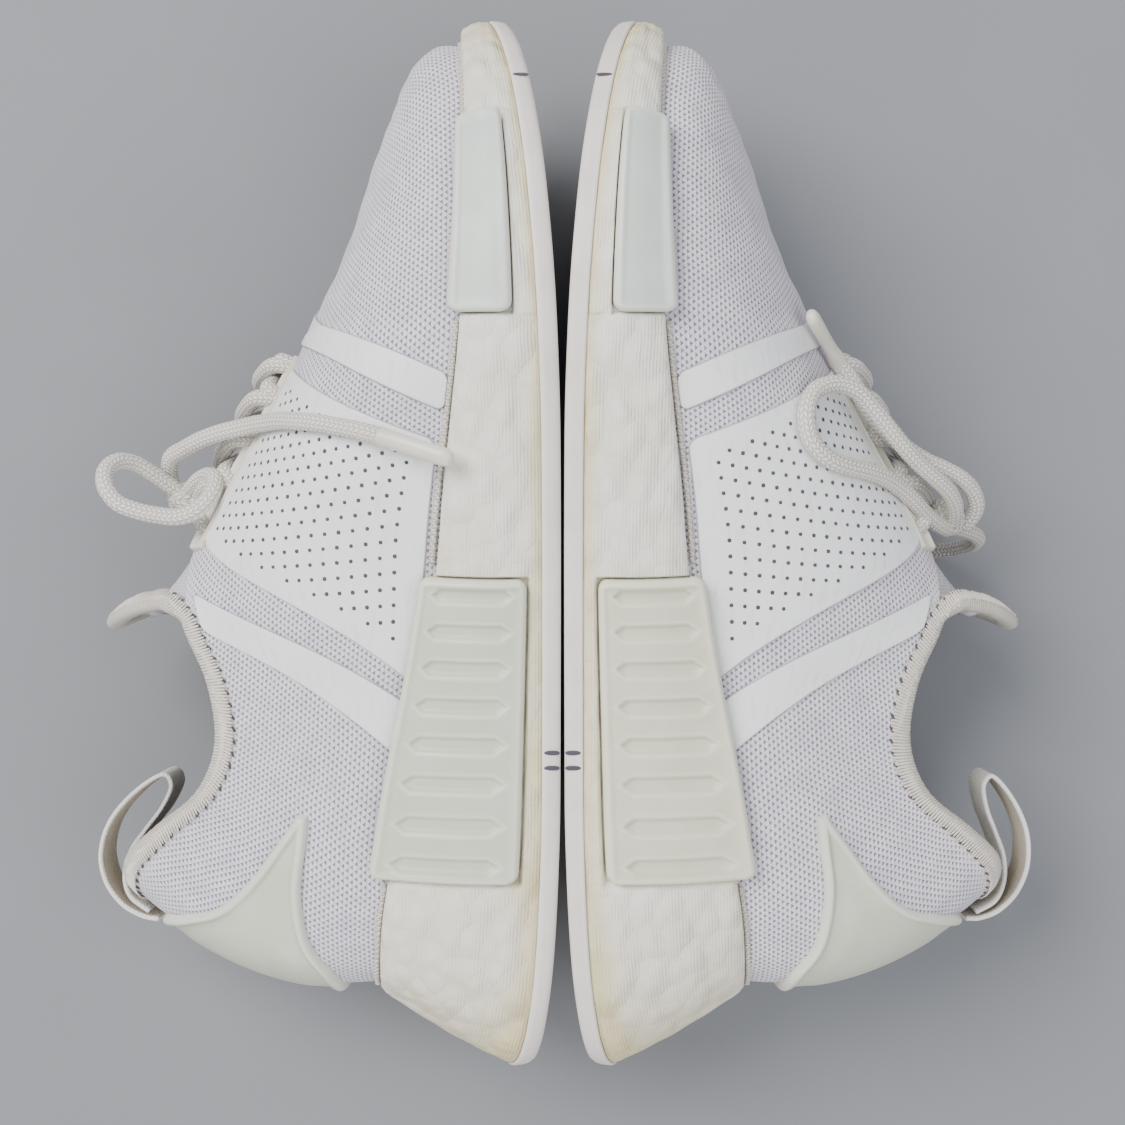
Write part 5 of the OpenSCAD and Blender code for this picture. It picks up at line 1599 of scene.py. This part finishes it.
@dataclass
class Upper(ShoePart):
    """The knitted bootie with its lining, bound collar, tongue and eyestays."""

    thick: float = KNIT
    collar: float = 7.0

    def bootie(self) -> None:
        """Makes the knit, closed along the vamp and open at the throat and collar."""
        q = np.linspace(-LAST, LAST, 337)[:-1]
        t = np.r_[np.linspace(0, 0.9, 46), np.linspace(0.91, 1, 10)]
        qq, tt = np.meshgrid(q, t, indexing="ij")
        s = np.abs(qq)
        pucker = 0.22 * np.sin(qq * 7.3 + tt * 5) * np.sin(qq * 2.1 - tt * 17) * smooth(tt, 0.05,
                                                                                        0.3) * smooth(-tt,
                                                                                                      -0.98,
                                                                                                      -0.8)
        drape = 0.45 * np.sin(qq * 2.7 + tt * 8.0) * smooth(s, 11, 13.5) * smooth(-s, -17,
                                                                                  -15.5) * smooth(tt, 0.3,
                                                                                                  0.6) \
            * smooth(-tt, -0.97, -0.85)
        bump = pucker + drape

        def side_face(d: float) -> np.ndarray:
            """Grid of one face, from the foot bed up."""
            p = FORM.plan(q)
            foot = np.concatenate([p + FORM.outward(q) * (d - 0.1), (FORM.bed(p[:, 1]) + 0.1)[:, None]], -1)
            body = FORM.skin(qq, tt, d + (bump if d == 0 else bump * 0.6))
            return np.concatenate([foot[:, None], body], 1)

        outer, inner = side_face(0.0), side_face(-self.thick)
        v = arc_lengths(outer, 1)
        u = arc_lengths(outer, 0)[:, 30:31]
        u = np.broadcast_to(u, v.shape)
        top = np.concatenate([tt[:, :1] * 0, tt], 1)
        sq = np.broadcast_to(np.abs(q)[:, None], top.shape)
        dense = smooth(sq, 12.6, 15.5) * smooth(top, 0.35, 0.8) + smooth(sq, 11.0, 12.5) * smooth(top, 0.72,
                                                                                                  0.95) \
            + smooth(top, 0.9, 0.97) * smooth(-sq, -8.2, -7.0)
        cloth = Cloth()
        joined = np.abs(q) >= THROAT - 0.06
        cloth.shell(outer, inner, np.stack([u, v], -1), loop=True, joined=joined, dense=np.clip(dense, 0, 1))
        self.cover(cloth, "upper_knit", "upper", self.finish.knit, "knit")

    def lining(self) -> None:
        """Makes the padded collar lining that swells between its edges."""
        q = np.linspace(-7.2, 7.2, 150)
        t = np.linspace(0.3, 0.97, 34)
        qq, tt = np.meshgrid(q, t, indexing="ij")
        rim = np.minimum((7.2 - np.abs(qq)) * 4, np.minimum(tt - 0.3, 0.97 - tt) * 30)
        swell = 0.25 + 0.75 * smooth(rim, 0, 2.2)
        quilt = 0.12 * np.sin(qq * 9) * np.sin(tt * 40)
        outer = FORM.skin(qq, tt, -self.thick - 0.1)
        inner = FORM.skin(qq, tt, -self.thick - 0.1 - LINING * swell + quilt * swell)
        u, v = arc_lengths(outer, 0), arc_lengths(outer, 1)
        cloth = Cloth()
        cloth.shell(outer, inner, np.stack([np.broadcast_to(u[:, :1], v.shape), v], -1))
        obj = self.cover(cloth, "collar_lining_pad", "collar_lining",
                           self.finish.lining, "lining")

    def binding_frame(self, q: float) -> tuple[np.ndarray, np.ndarray, np.ndarray]:
        """Middle of the bound edge, surface direction and direction over the edge, at a signed stop."""
        side, s = (-1.0 if q < 0 else 1.0), abs(q)
        if s <= 7:
            z = side * s
            way = unit(FORM.skin(z, 1.0) - FORM.skin(z, 0.93))
            return FORM.skin(z, 0.985, -1.6), FORM.crown(np.array(z)), way
        r = FORM.lip_line(np.array(s))
        tilt = max(10 - s, 0) / 3
        return (np.array([side * max(r[1], 0), r[2], r[3]]), unit(np.array([side * 0.45 * tilt, 0.62, 0.6])),
                unit(np.array([side * 0.35 * tilt, -0.55, 0.8])))

    def binding_rings(self, n: int = 300) -> tuple[np.ndarray, np.ndarray, np.ndarray]:
        """Smoothed frames round the collar: centres, surface directions and edge directions."""
        half = np.r_[np.linspace(0, 7, 43), 7.6, 8.0, 8.4, 8.9, 9.4]
        turns = np.r_[half, 10, -half[:0:-1]]
        rows = [np.concatenate(self.binding_frame(float(q))) for q in turns]
        a = np.array(rows + [rows[0]])
        arc = np.r_[0, np.cumsum(np.linalg.norm(np.diff(a[:, :3], axis=0), axis=1))]
        at = np.linspace(0, arc[-1], n + 1)[:-1]
        b = np.stack([np.interp(at, arc, a[:, k]) for k in range(9)], -1)
        for _ in range(5):
            b = 0.5 * b + 0.25 * (np.roll(b, 1, 0) + np.roll(b, -1, 0))
        return b[:, :3], unit(b[:, 3:6]), unit(b[:, 6:9])

    def binding(self) -> None:
        """Makes the overlocked roll round the collar, its needle row, its overlock stitches and its tack stitches.
        """
        centre, face, over = self.binding_rings()
        thick = self.thick + LINING + 0.9
        a = np.linspace(0, 2 * np.pi, 25)
        n = len(centre)
        rib = 1 + 0.018 * np.sin(np.arange(n) * 2.2)[:, None]
        c, s = np.cos(a), np.sin(a)
        wide = np.sign(c) * np.abs(c) ** 0.85 * thick / 2 * (1 - 0.1 * (s > 0) * s)
        tall = np.sign(s) * np.abs(s) ** 0.9 * self.collar / 2
        grid = centre[:, None] + face[:, None] * (wide[None] * rib)[...,
                                                                    None] + over[:, None] * (tall[None]
                                                                                             * rib)[..., None]
        grid = np.concatenate([grid, grid[:1]], 0)
        u = arc_lengths(grid, 0)[:, :1]
        v = arc_lengths(grid, 1)[:1]
        cloth = Cloth()
        cloth.loft(grid, np.stack(np.broadcast_arrays(u, v), -1))
        self.cover(cloth, "collar_binding_roll", "collar_binding", self.finish.binding,
                     "binding")
        # The needle holes are dark beads of painted shade in the vent_shadow finish.
        down = centre + face * (thick / 2 * 0.80) - over * (self.collar / 2 * 0.80)
        self.stitch_row("collar_needle_row", down, face * 0.8 - over * 0.5, 3.4, (2.0, 0.75, 0.6),
                        self.finish.vent, 0.5)
        crest = centre + face * (thick / 2 * 1.02) - over * (self.collar / 2 * 0.25)
        self.stitch_row("collar_overlock", crest, face, 0.9, (4.4, 0.62, 0.5), self.finish.thread, 1.35)
        tack = [i for i in range(n) if 5.6 < abs(self.near_station(centre[i])) < 7.4]
        if tack:
            zig = centre[tack] + face[tack] * (thick / 2
                                               * 0.9) + over[tack] * (1.3 * np.sign(np.sin(np.arange(len(tack)) * 1.5)))[:, None]
            self.stitch_row("collar_tack", zig, face[tack], 1.6, (2.2, 0.5, 0.4), self.finish.thread, 0.7)

    @staticmethod
    def near_station(p: np.ndarray) -> float:
        """Signed top-line station nearest to a point."""
        s = np.linspace(0, 8, 81)
        r = FORM.top_line(s)
        d = np.hypot(r[:, 1] - p[1], r[:, 4] - p[2])
        return float(s[int(np.argmin(d))]) * (1 if p[0] >= 0 else -1)

    def stitch_row(self, name: str, line: np.ndarray, facing: np.ndarray, pitch: float,
                   size: tuple[float, float, float],
                   material: bpy.types.Material, turn: float) -> None:
        """Sets stitches along a line.

        Args:
            name: name of the row.
            line: points of the line.
            facing: outward direction at each.
            pitch: distance between stitches.
            size: length, width and height of a stitch.
            material: finish of the thread.
            turn: angle of a stitch to the line.
        """
        arc = np.r_[0, np.cumsum(np.linalg.norm(np.diff(line, axis=0), axis=1))]
        at = np.arange(pitch / 2, arc[-1], pitch)
        pick = lambda rows: np.stack([np.interp(at, arc, rows[:, k]) for k in range(3)], -1)
        places, up = pick(line), unit(pick(facing))
        head = unit(np.gradient(places, axis=0))
        w0 = self.foot.world(np.zeros(3))
        turn_dir = lambda v: unit(self.foot.world(v) - w0)
        shape = bead("stitch", *size)
        row = Scatter(shape, 1.0, turn, 11 + self.foot.value, 0.12).on(
            f"{self.word}_{name}", self.foot.world(places), turn_dir(up), turn_dir(head), material)
        self.hand_in(row, None, None, "binding")
        bpy.data.objects.remove(shape)

    def tongue(self) -> None:
        """Makes the stretch panel under the laces that ends in the sock's lip."""
        y = np.linspace(219, 132.5, 110)
        u = np.linspace(-1, 1, 46)
        r = FORM.tongue_line(-y)
        w, yy = np.meshgrid(u, y)
        wide = np.where(w < 0, 0.8, 1.0)
        fall = np.where(w < 0, 1.6, 1.0)
        rib = 0.22 * np.sin(w * 60) * (1 - w ** 2)
        x = w * r[:, 2:3] * wide
        z = r[:, 1:2] - r[:, 3:4] * fall * w ** 2
        face = np.stack([x, yy, z - self.thick - 0.3 + rib], -1)
        back = np.stack([x, yy - 2.6 * 0.45, z - self.thick - 2.9], -1)
        pattern = np.stack([w * 24, yy], -1)
        cloth = Cloth()
        cloth.shell(face, back, pattern, dense=np.full(w.shape, 0.4))
        self.cover(cloth, "tongue_knit", "tongue", self.finish.knit_dense, "tongue_knit")

    def eyestay(self, side: int, name: str) -> None:
        """Makes one eyestay: a folded band that stands up a little along the throat.

        Args:
            side: outer or inner side.
            name: node name without prefix.
        """
        s0, s1, t0, t1 = EYESTAY[0][0], EYESTAY[1][0], EYESTAY[0][1], EYESTAY[2][1]
        i, j = border_steps(78, 0.4, 1.6), border_steps(10, 0.3, 0.7)
        a, b = np.meshgrid(i, j, indexing="ij")
        s, t = s0 + (s1 - s0) * a, t0 + (t1 - t0) * b
        rim = np.minimum(np.minimum(a, 1 - a) * 78, np.minimum(b, 1 - b) * 10)
        fold = 0.55 * smooth(-rim, -1.8, -0.9) * smooth(rim, 0, 0.5)
        lift = 0.95 * np.sqrt(np.clip(1 - (1 - np.clip(rim / 0.9, 0, 1)) ** 2, 0,
                                      1)) + fold * 0.6 + 0.9 * smooth(b, 0.55, 1) \
            * smooth(rim, 0, 1.0)
        for row in EYELETS:
            near = np.hypot((s - row) * 19, (t - 0.945) * 78)
            lift -= 0.8 * smooth(-near, -3.2, -2.2) * smooth(rim, 0.3, 1.2)
        outer, inner = FORM.skin(side * s, t, np.maximum(lift, 0.05)), FORM.skin(side * s, t, -0.3)
        cloth = Cloth()
        cloth.shell(outer, inner, np.stack([a * 78, b * 10], -1), edge=smooth(-rim, -1.0, -0.2))
        self.cover(cloth, f"{name}_band", name, self.finish.eyestay, "eyestay")

    def featherline(self) -> None:
        """Makes the rolled bead and the crossed stitches where the knit meets the foam."""
        q = np.linspace(-LAST, LAST, 700)
        p = FORM.skin(q, 0.022, 0.35)
        up = unit(FORM.skin(q, 0.022, 1.4) - p)
        keep = np.ones(len(q), bool)
        for side, s0, s1, _, t1 in PLUGS.values():
            keep &= ~((np.sign(q) == side) & (np.abs(q) > s0 - 0.1) & (np.abs(q) < s1 + 0.1))
        keep &= p[:, 0] > -39.4
        runs = np.split(np.arange(len(q)), np.where(np.diff(keep.astype(int)) != 0)[0] + 1)
        cloth = Cloth()
        for k, run in enumerate(r for r in runs if keep[r[0]] and len(r) > 12):
            cloth.tube(p[run], 0.75, 8)
            self.stitch_row(f"featherline_stitches_{k}", p[run] + up[run] * 0.72, up[run], 1.9,
                            (1.9, 0.5, 0.4),
                            self.finish.thread, 0.75 if k % 2 else -0.75)
        self.cover(cloth, "featherline_bead", None, self.finish.binding, "binding")

    def build(self) -> None:
        """Builds the whole upper."""
        self.bootie()
        self.lining()
        self.binding()
        self.tongue()
        self.eyestay(LATERAL, "lateral_eyestay")
        self.eyestay(MEDIAL, "medial_eyestay")
        self.featherline()


@dataclass
class Overlays(ShoePart):
    """Welded film bands and saddles, and the moulded heel cap."""

    film: float = FILM
    cap: float = CAP

    def patch(self, corners: Sequence[Sequence[float]], a: np.ndarray, b: np.ndarray) -> tuple[np.ndarray,
                                                                                               np.ndarray]:
        """Station and rib share at shares a along and b up a patch given by four corners."""
        c = np.array(corners, float)
        low = c[0] + (c[1] - c[0]) * a[..., None]
        high = c[3] + (c[2] - c[3]) * a[..., None]
        p = low + (high - low) * b[..., None]
        return p[..., 0], p[..., 1]

    def sheet(self, piece: str, side: int, corners: Sequence[Sequence[float]], floor: float = -0.4) -> None:
        """Makes a film patch with rounded corners and a rolled edge.

        Args:
            piece: node name without prefix.
            side: outer or inner side.
            corners: its corners on the upper.
            floor: how deep its back lies in the knit.
        """
        grid_size = self.size(side, corners)
        i, j = border_steps(grid_size[0], 0.25, 1.3), border_steps(grid_size[1], 0.25, 1.3)
        a, b = np.meshgrid(i, j, indexing="ij")
        corner = 3.0
        from_end = np.minimum(b, 1 - b) * grid_size[1]
        pull = corner_pull(from_end, corner)
        squeeze = 1 - 2 * pull / grid_size[0]
        s, t = self.patch(corners, 0.5 + (a - 0.5) * squeeze, b)
        inset = np.minimum(np.minimum(a, 1 - a) * grid_size[0] * squeeze, from_end)
        lift = self.film * np.sqrt(np.clip(1 - (1 - np.clip(inset / 0.5, 0, 1)) ** 2, 0, 1)) * 0.55 + 0.28
        lift = lift + 0.05 * np.sin(s * 23) * np.sin(t * 60) * smooth(inset, 1, 3)
        outer, inner = FORM.skin(side * s, t, lift), FORM.skin(side * s, t, floor)
        cloth = Cloth()
        cloth.shell(outer, inner, np.stack([a * grid_size[0], b * grid_size[1]], -1),
                    edge=1 - smooth(inset, 0.15, 0.6))
        self.cover(cloth, f"{piece}_film", piece, self.finish.film, "film_overlay")

    def size(self, side: int, corners: Sequence[Sequence[float]]) -> tuple[float, float]:
        """Width and height of a patch in millimetres."""
        u = np.linspace(0, 1, 20)
        s, t = self.patch(corners, u, np.full(20, 0.5))
        across = FORM.skin(side * s, t)
        s, t = self.patch(corners, np.full(20, 0.5), u)
        up = FORM.skin(side * s, t)
        return tuple(float(np.linalg.norm(np.diff(p, axis=0), axis=1).sum()) for p in (across, up))

    def vents(self, side: int, name: str) -> None:
        """Sets staggered vent holes over a saddle as small dark beads of painted shade.

        Args:
            side: outer or inner side.
            name: name of the group.
        """
        wide, high = self.size(side, SADDLE)
        rows = []
        for j, y in enumerate(np.arange(7, high - 6, 3.4)):
            for x in np.arange(7 + (j % 2) * 1.95, wide - 6, 3.9):
                rows.append((x / wide, y / high))
        ab = np.array(rows)
        s, t = self.patch(SADDLE, ab[:, 0], ab[:, 1])
        p, up, rise = self.normals(side * s, t, self.film * 0.55 + 0.3)
        shape = bead("vent", 1.15, 1.15, 0.26, 8, 3)
        obj = Scatter(shape, 1.0, 0.0, 5, 0.06).on(f"{self.word}_{name}", p, up, rise, self.finish.vent)
        self.hand_in(obj, None, None, "film_overlay")
        bpy.data.objects.remove(shape)

    def toe_band(self) -> None:
        """Makes the band that runs over the vamp from one side to the other."""
        side_wide, side_high = self.size(LATERAL, TOE_BAND)
        i = border_steps(side_wide, 0.25, 1.1)
        j = border_steps(side_high * 2, 0.25, 1.4) * 2
        a, b = np.meshgrid(i, j, indexing="ij")
        far = b > 1
        share = np.where(far, 2 - b, b)
        corner = 2.4
        from_end = share * side_high
        pull = corner_pull(from_end, corner)
        squeeze = 1 - 2 * pull / side_wide
        s, t = self.patch(TOE_BAND, 0.5 + (a - 0.5) * squeeze, share)
        q = np.where(far, -s, s)
        inset = np.minimum(np.minimum(a, 1 - a) * side_wide * squeeze, from_end)
        lift = self.film * 0.55 * np.sqrt(np.clip(1 - (1 - np.clip(inset / 0.5, 0, 1)) ** 2, 0, 1)) + 0.28
        outer, inner = FORM.skin(q, t, lift), FORM.skin(q, t, -0.3)
        cloth = Cloth()
        cloth.shell(outer, inner, np.stack([a * side_wide, b * side_high], -1),
                    edge=1 - smooth(inset, 0.15, 0.6))
        self.cover(cloth, "toe_band_film", "toe_band", self.finish.film, "film_overlay")

    def heel_cap(self) -> None:
        """Makes the moulded cap round the heel with a raised border and a wing along each side."""
        q = np.unique(np.r_[np.linspace(-4.1, 4.1, 131), -np.linspace(3.95, 4.1, 8),
                            np.linspace(3.95, 4.1, 8)].round(4))
        r = FORM.cap_line(np.abs(q))
        high = np.linalg.norm(FORM.skin(q, r[:, 2]) - FORM.skin(q, r[:, 1]), axis=-1)
        j = border_steps(50, 0.3, 1.2)
        a, b = np.meshgrid(q, j, indexing="ij")
        t = r[:, 1:2] + (r[:, 2:3] - r[:, 1:2]) * b
        inset = np.minimum(np.minimum(b, 1 - b) * high[:, None], (4.1 - np.abs(a)) * 17)
        shape = np.sqrt(np.clip(1 - (1 - np.clip(inset / 1.4, 0, 1)) ** 2, 0, 1))
        lift = 0.4 + (self.cap - 0.3) * shape - 1.1 * smooth(inset, 2.1, 3.3) + 0.3 * smooth(inset, 6.0, 11)
        outer, inner = FORM.skin(a, t, lift), FORM.skin(a, t, -0.3)
        u, v = arc_lengths(outer, 0), arc_lengths(outer, 1)
        cloth = Cloth()
        # edge marks the raised border, which the cap's finish lightens as a painted highlight.
        cloth.shell(outer, inner, np.stack([u, v], -1), edge=1 - smooth(inset, 1.6, 2.6))
        self.cover(cloth, "heel_cap_moulding", "heel_cap", self.finish.cap, "heel_cap")

    def build(self) -> None:
        """Builds every overlay."""
        self.toe_band()
        self.sheet("lateral_saddle", LATERAL, SADDLE)
        self.sheet("medial_saddle", MEDIAL, SADDLE)
        self.sheet("lateral_heel_band", LATERAL, HEEL_BAND)
        self.sheet("medial_heel_band", MEDIAL, HEEL_BAND)
        self.vents(LATERAL, "lateral_vents")
        self.vents(MEDIAL, "medial_vents")
        self.heel_cap()


@dataclass
class PullTab(ShoePart):
    """The webbing loop sewn to the heel seam."""

    width: float = TAB_WIDTH
    thick: float = 1.3

    def build(self) -> None:
        """Builds the loop, soft at its edges."""
        lean, bow = TAB_STANCE[self.foot.value]
        c, s = math.cos(math.radians(lean)), math.sin(math.radians(lean))
        flat = [(y - TAB_HINGE[0], (z - TAB_HINGE[1]) * bow) for y, z in TAB_PATH]
        route = [[0, y * c - z * s, y * s + z * c] for y, z in flat]
        line = spline(route, 0.7)
        along = unit(np.gradient(line, axis=0))
        out = np.stack([np.zeros(len(line)), -along[:, 2], along[:, 1]], -1)
        w = border_steps(self.width, 0.25, 0.9)
        across = (w - 0.5) * self.width
        rim = np.minimum(w, 1 - w) * self.width
        round_off = 0.42 * (1 - np.sqrt(np.clip(1 - (1 - np.clip(rim / 0.6, 0, 1)) ** 2, 0, 1)))
        hinge = np.array([0, *TAB_HINGE])
        side = np.array([1.0, 0, 0])
        grid = lambda d, r: hinge + line[:, None] + side * across[None, :,
                                                                  None] + out[:, None] * (d + r[None, :,
                                                                                                None])
        outer, inner = grid(0.0, -round_off), grid(-self.thick, round_off)
        u, v = arc_lengths(outer, 0), np.broadcast_to(w * self.width, outer.shape[:2])
        edge = np.broadcast_to(1 - smooth(rim, 0.5, 1.1), outer.shape[:2])
        cloth = Cloth()
        cloth.shell(outer, inner, np.stack([u, v], -1), edge=edge)
        self.cover(cloth, "pull_tab_webbing", "pull_tab", self.finish.webbing, "webbing",
                     "tab")


@dataclass
class Studio:
    """Floor, lights and camera."""

    floor_size: float = 9.0
    height: float = 0.495
    lens: float = 49.7

    def camera(self) -> None:
        """Puts the camera straight over the pair."""
        data = bpy.data.cameras.new("over_the_pair")
        data.lens, data.sensor_width = self.lens, 36.0
        data.dof.use_dof = False
        obj = bpy.data.objects.new("over_the_pair", data)
        obj.location = (0.0, -0.0033, self.height)
        bpy.context.scene.collection.objects.link(obj)
        bpy.context.scene.camera = obj

    def light(self, name: str, place: tuple[float, float, float], size: float, power: float,
              colour: Colour) -> None:
        """Adds a soft square light that faces the pair."""
        data = bpy.data.lights.new(name, "AREA")
        data.size, data.energy, data.color = size, power, colour
        obj = bpy.data.objects.new(name, data)
        obj.location = place
        away = np.array(place) - np.array([0, 0, 0.03])
        x, y, z = away
        obj.rotation_euler = (math.atan2(math.hypot(x, y), z), 0, math.atan2(y, x) + math.pi / 2)
        bpy.context.scene.collection.objects.link(obj)

    def build(self, finish: Finishes) -> None:
        """Lays the floor and sets the lights."""
        size = self.floor_size
        mesh = bpy.data.meshes.new("paper")
        mesh.from_pydata([(-size, -size, 0), (size, -size, 0), (size, size, 0), (-size, size, 0)], [],
                         [(0, 1, 2, 3)])
        mesh.uv_layers.new(name="pattern")
        floor = bpy.data.objects.new("paper", mesh)
        floor.data.materials.append(finish.floor)
        bpy.context.scene.collection.objects.link(floor)
        self.light("window", (-0.9, 0.7, 1.3), 1.1, 42.0, (1.0, 0.98, 0.96))
        self.light("sky", (0.9, -0.3, 1.5), 1.6, 17.0, (0.95, 0.97, 1.0))
        self.light("low_side", (-0.2, -1.3, 0.5), 0.9, 8.0, (1.0, 0.98, 0.95))
        world = bpy.data.worlds.new("room")
        bpy.context.scene.world = world
        world.use_nodes = True
        back = next(n for n in world.node_tree.nodes if n.type == "BACKGROUND")
        back.inputs[0].default_value = (0.9, 0.93, 1.0, 1.0)
        back.inputs[1].default_value = 0.5


def main() -> None:
    """Builds the pair in order: camera, laces, soles, uppers, overlays and tabs."""
    logging.basicConfig(level=logging.INFO, format="%(message)s")
    FRAME.update(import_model())
    studio = Studio()
    studio.camera()
    finish = Finishes()
    for foot in Foot:
        Lacing(foot, finish).free_ends()
    for foot in Foot:
        lacing = Lacing(foot, finish)
        lacing.knot()
        lacing.crossings()
        Sole(foot, finish).build()
        Footbed(foot, finish).build()
        Upper(foot, finish).build()
        Overlays(foot, finish).build()
        PullTab(foot, finish).build()
    studio.build(finish)


if __name__ == "__main__":
    main()
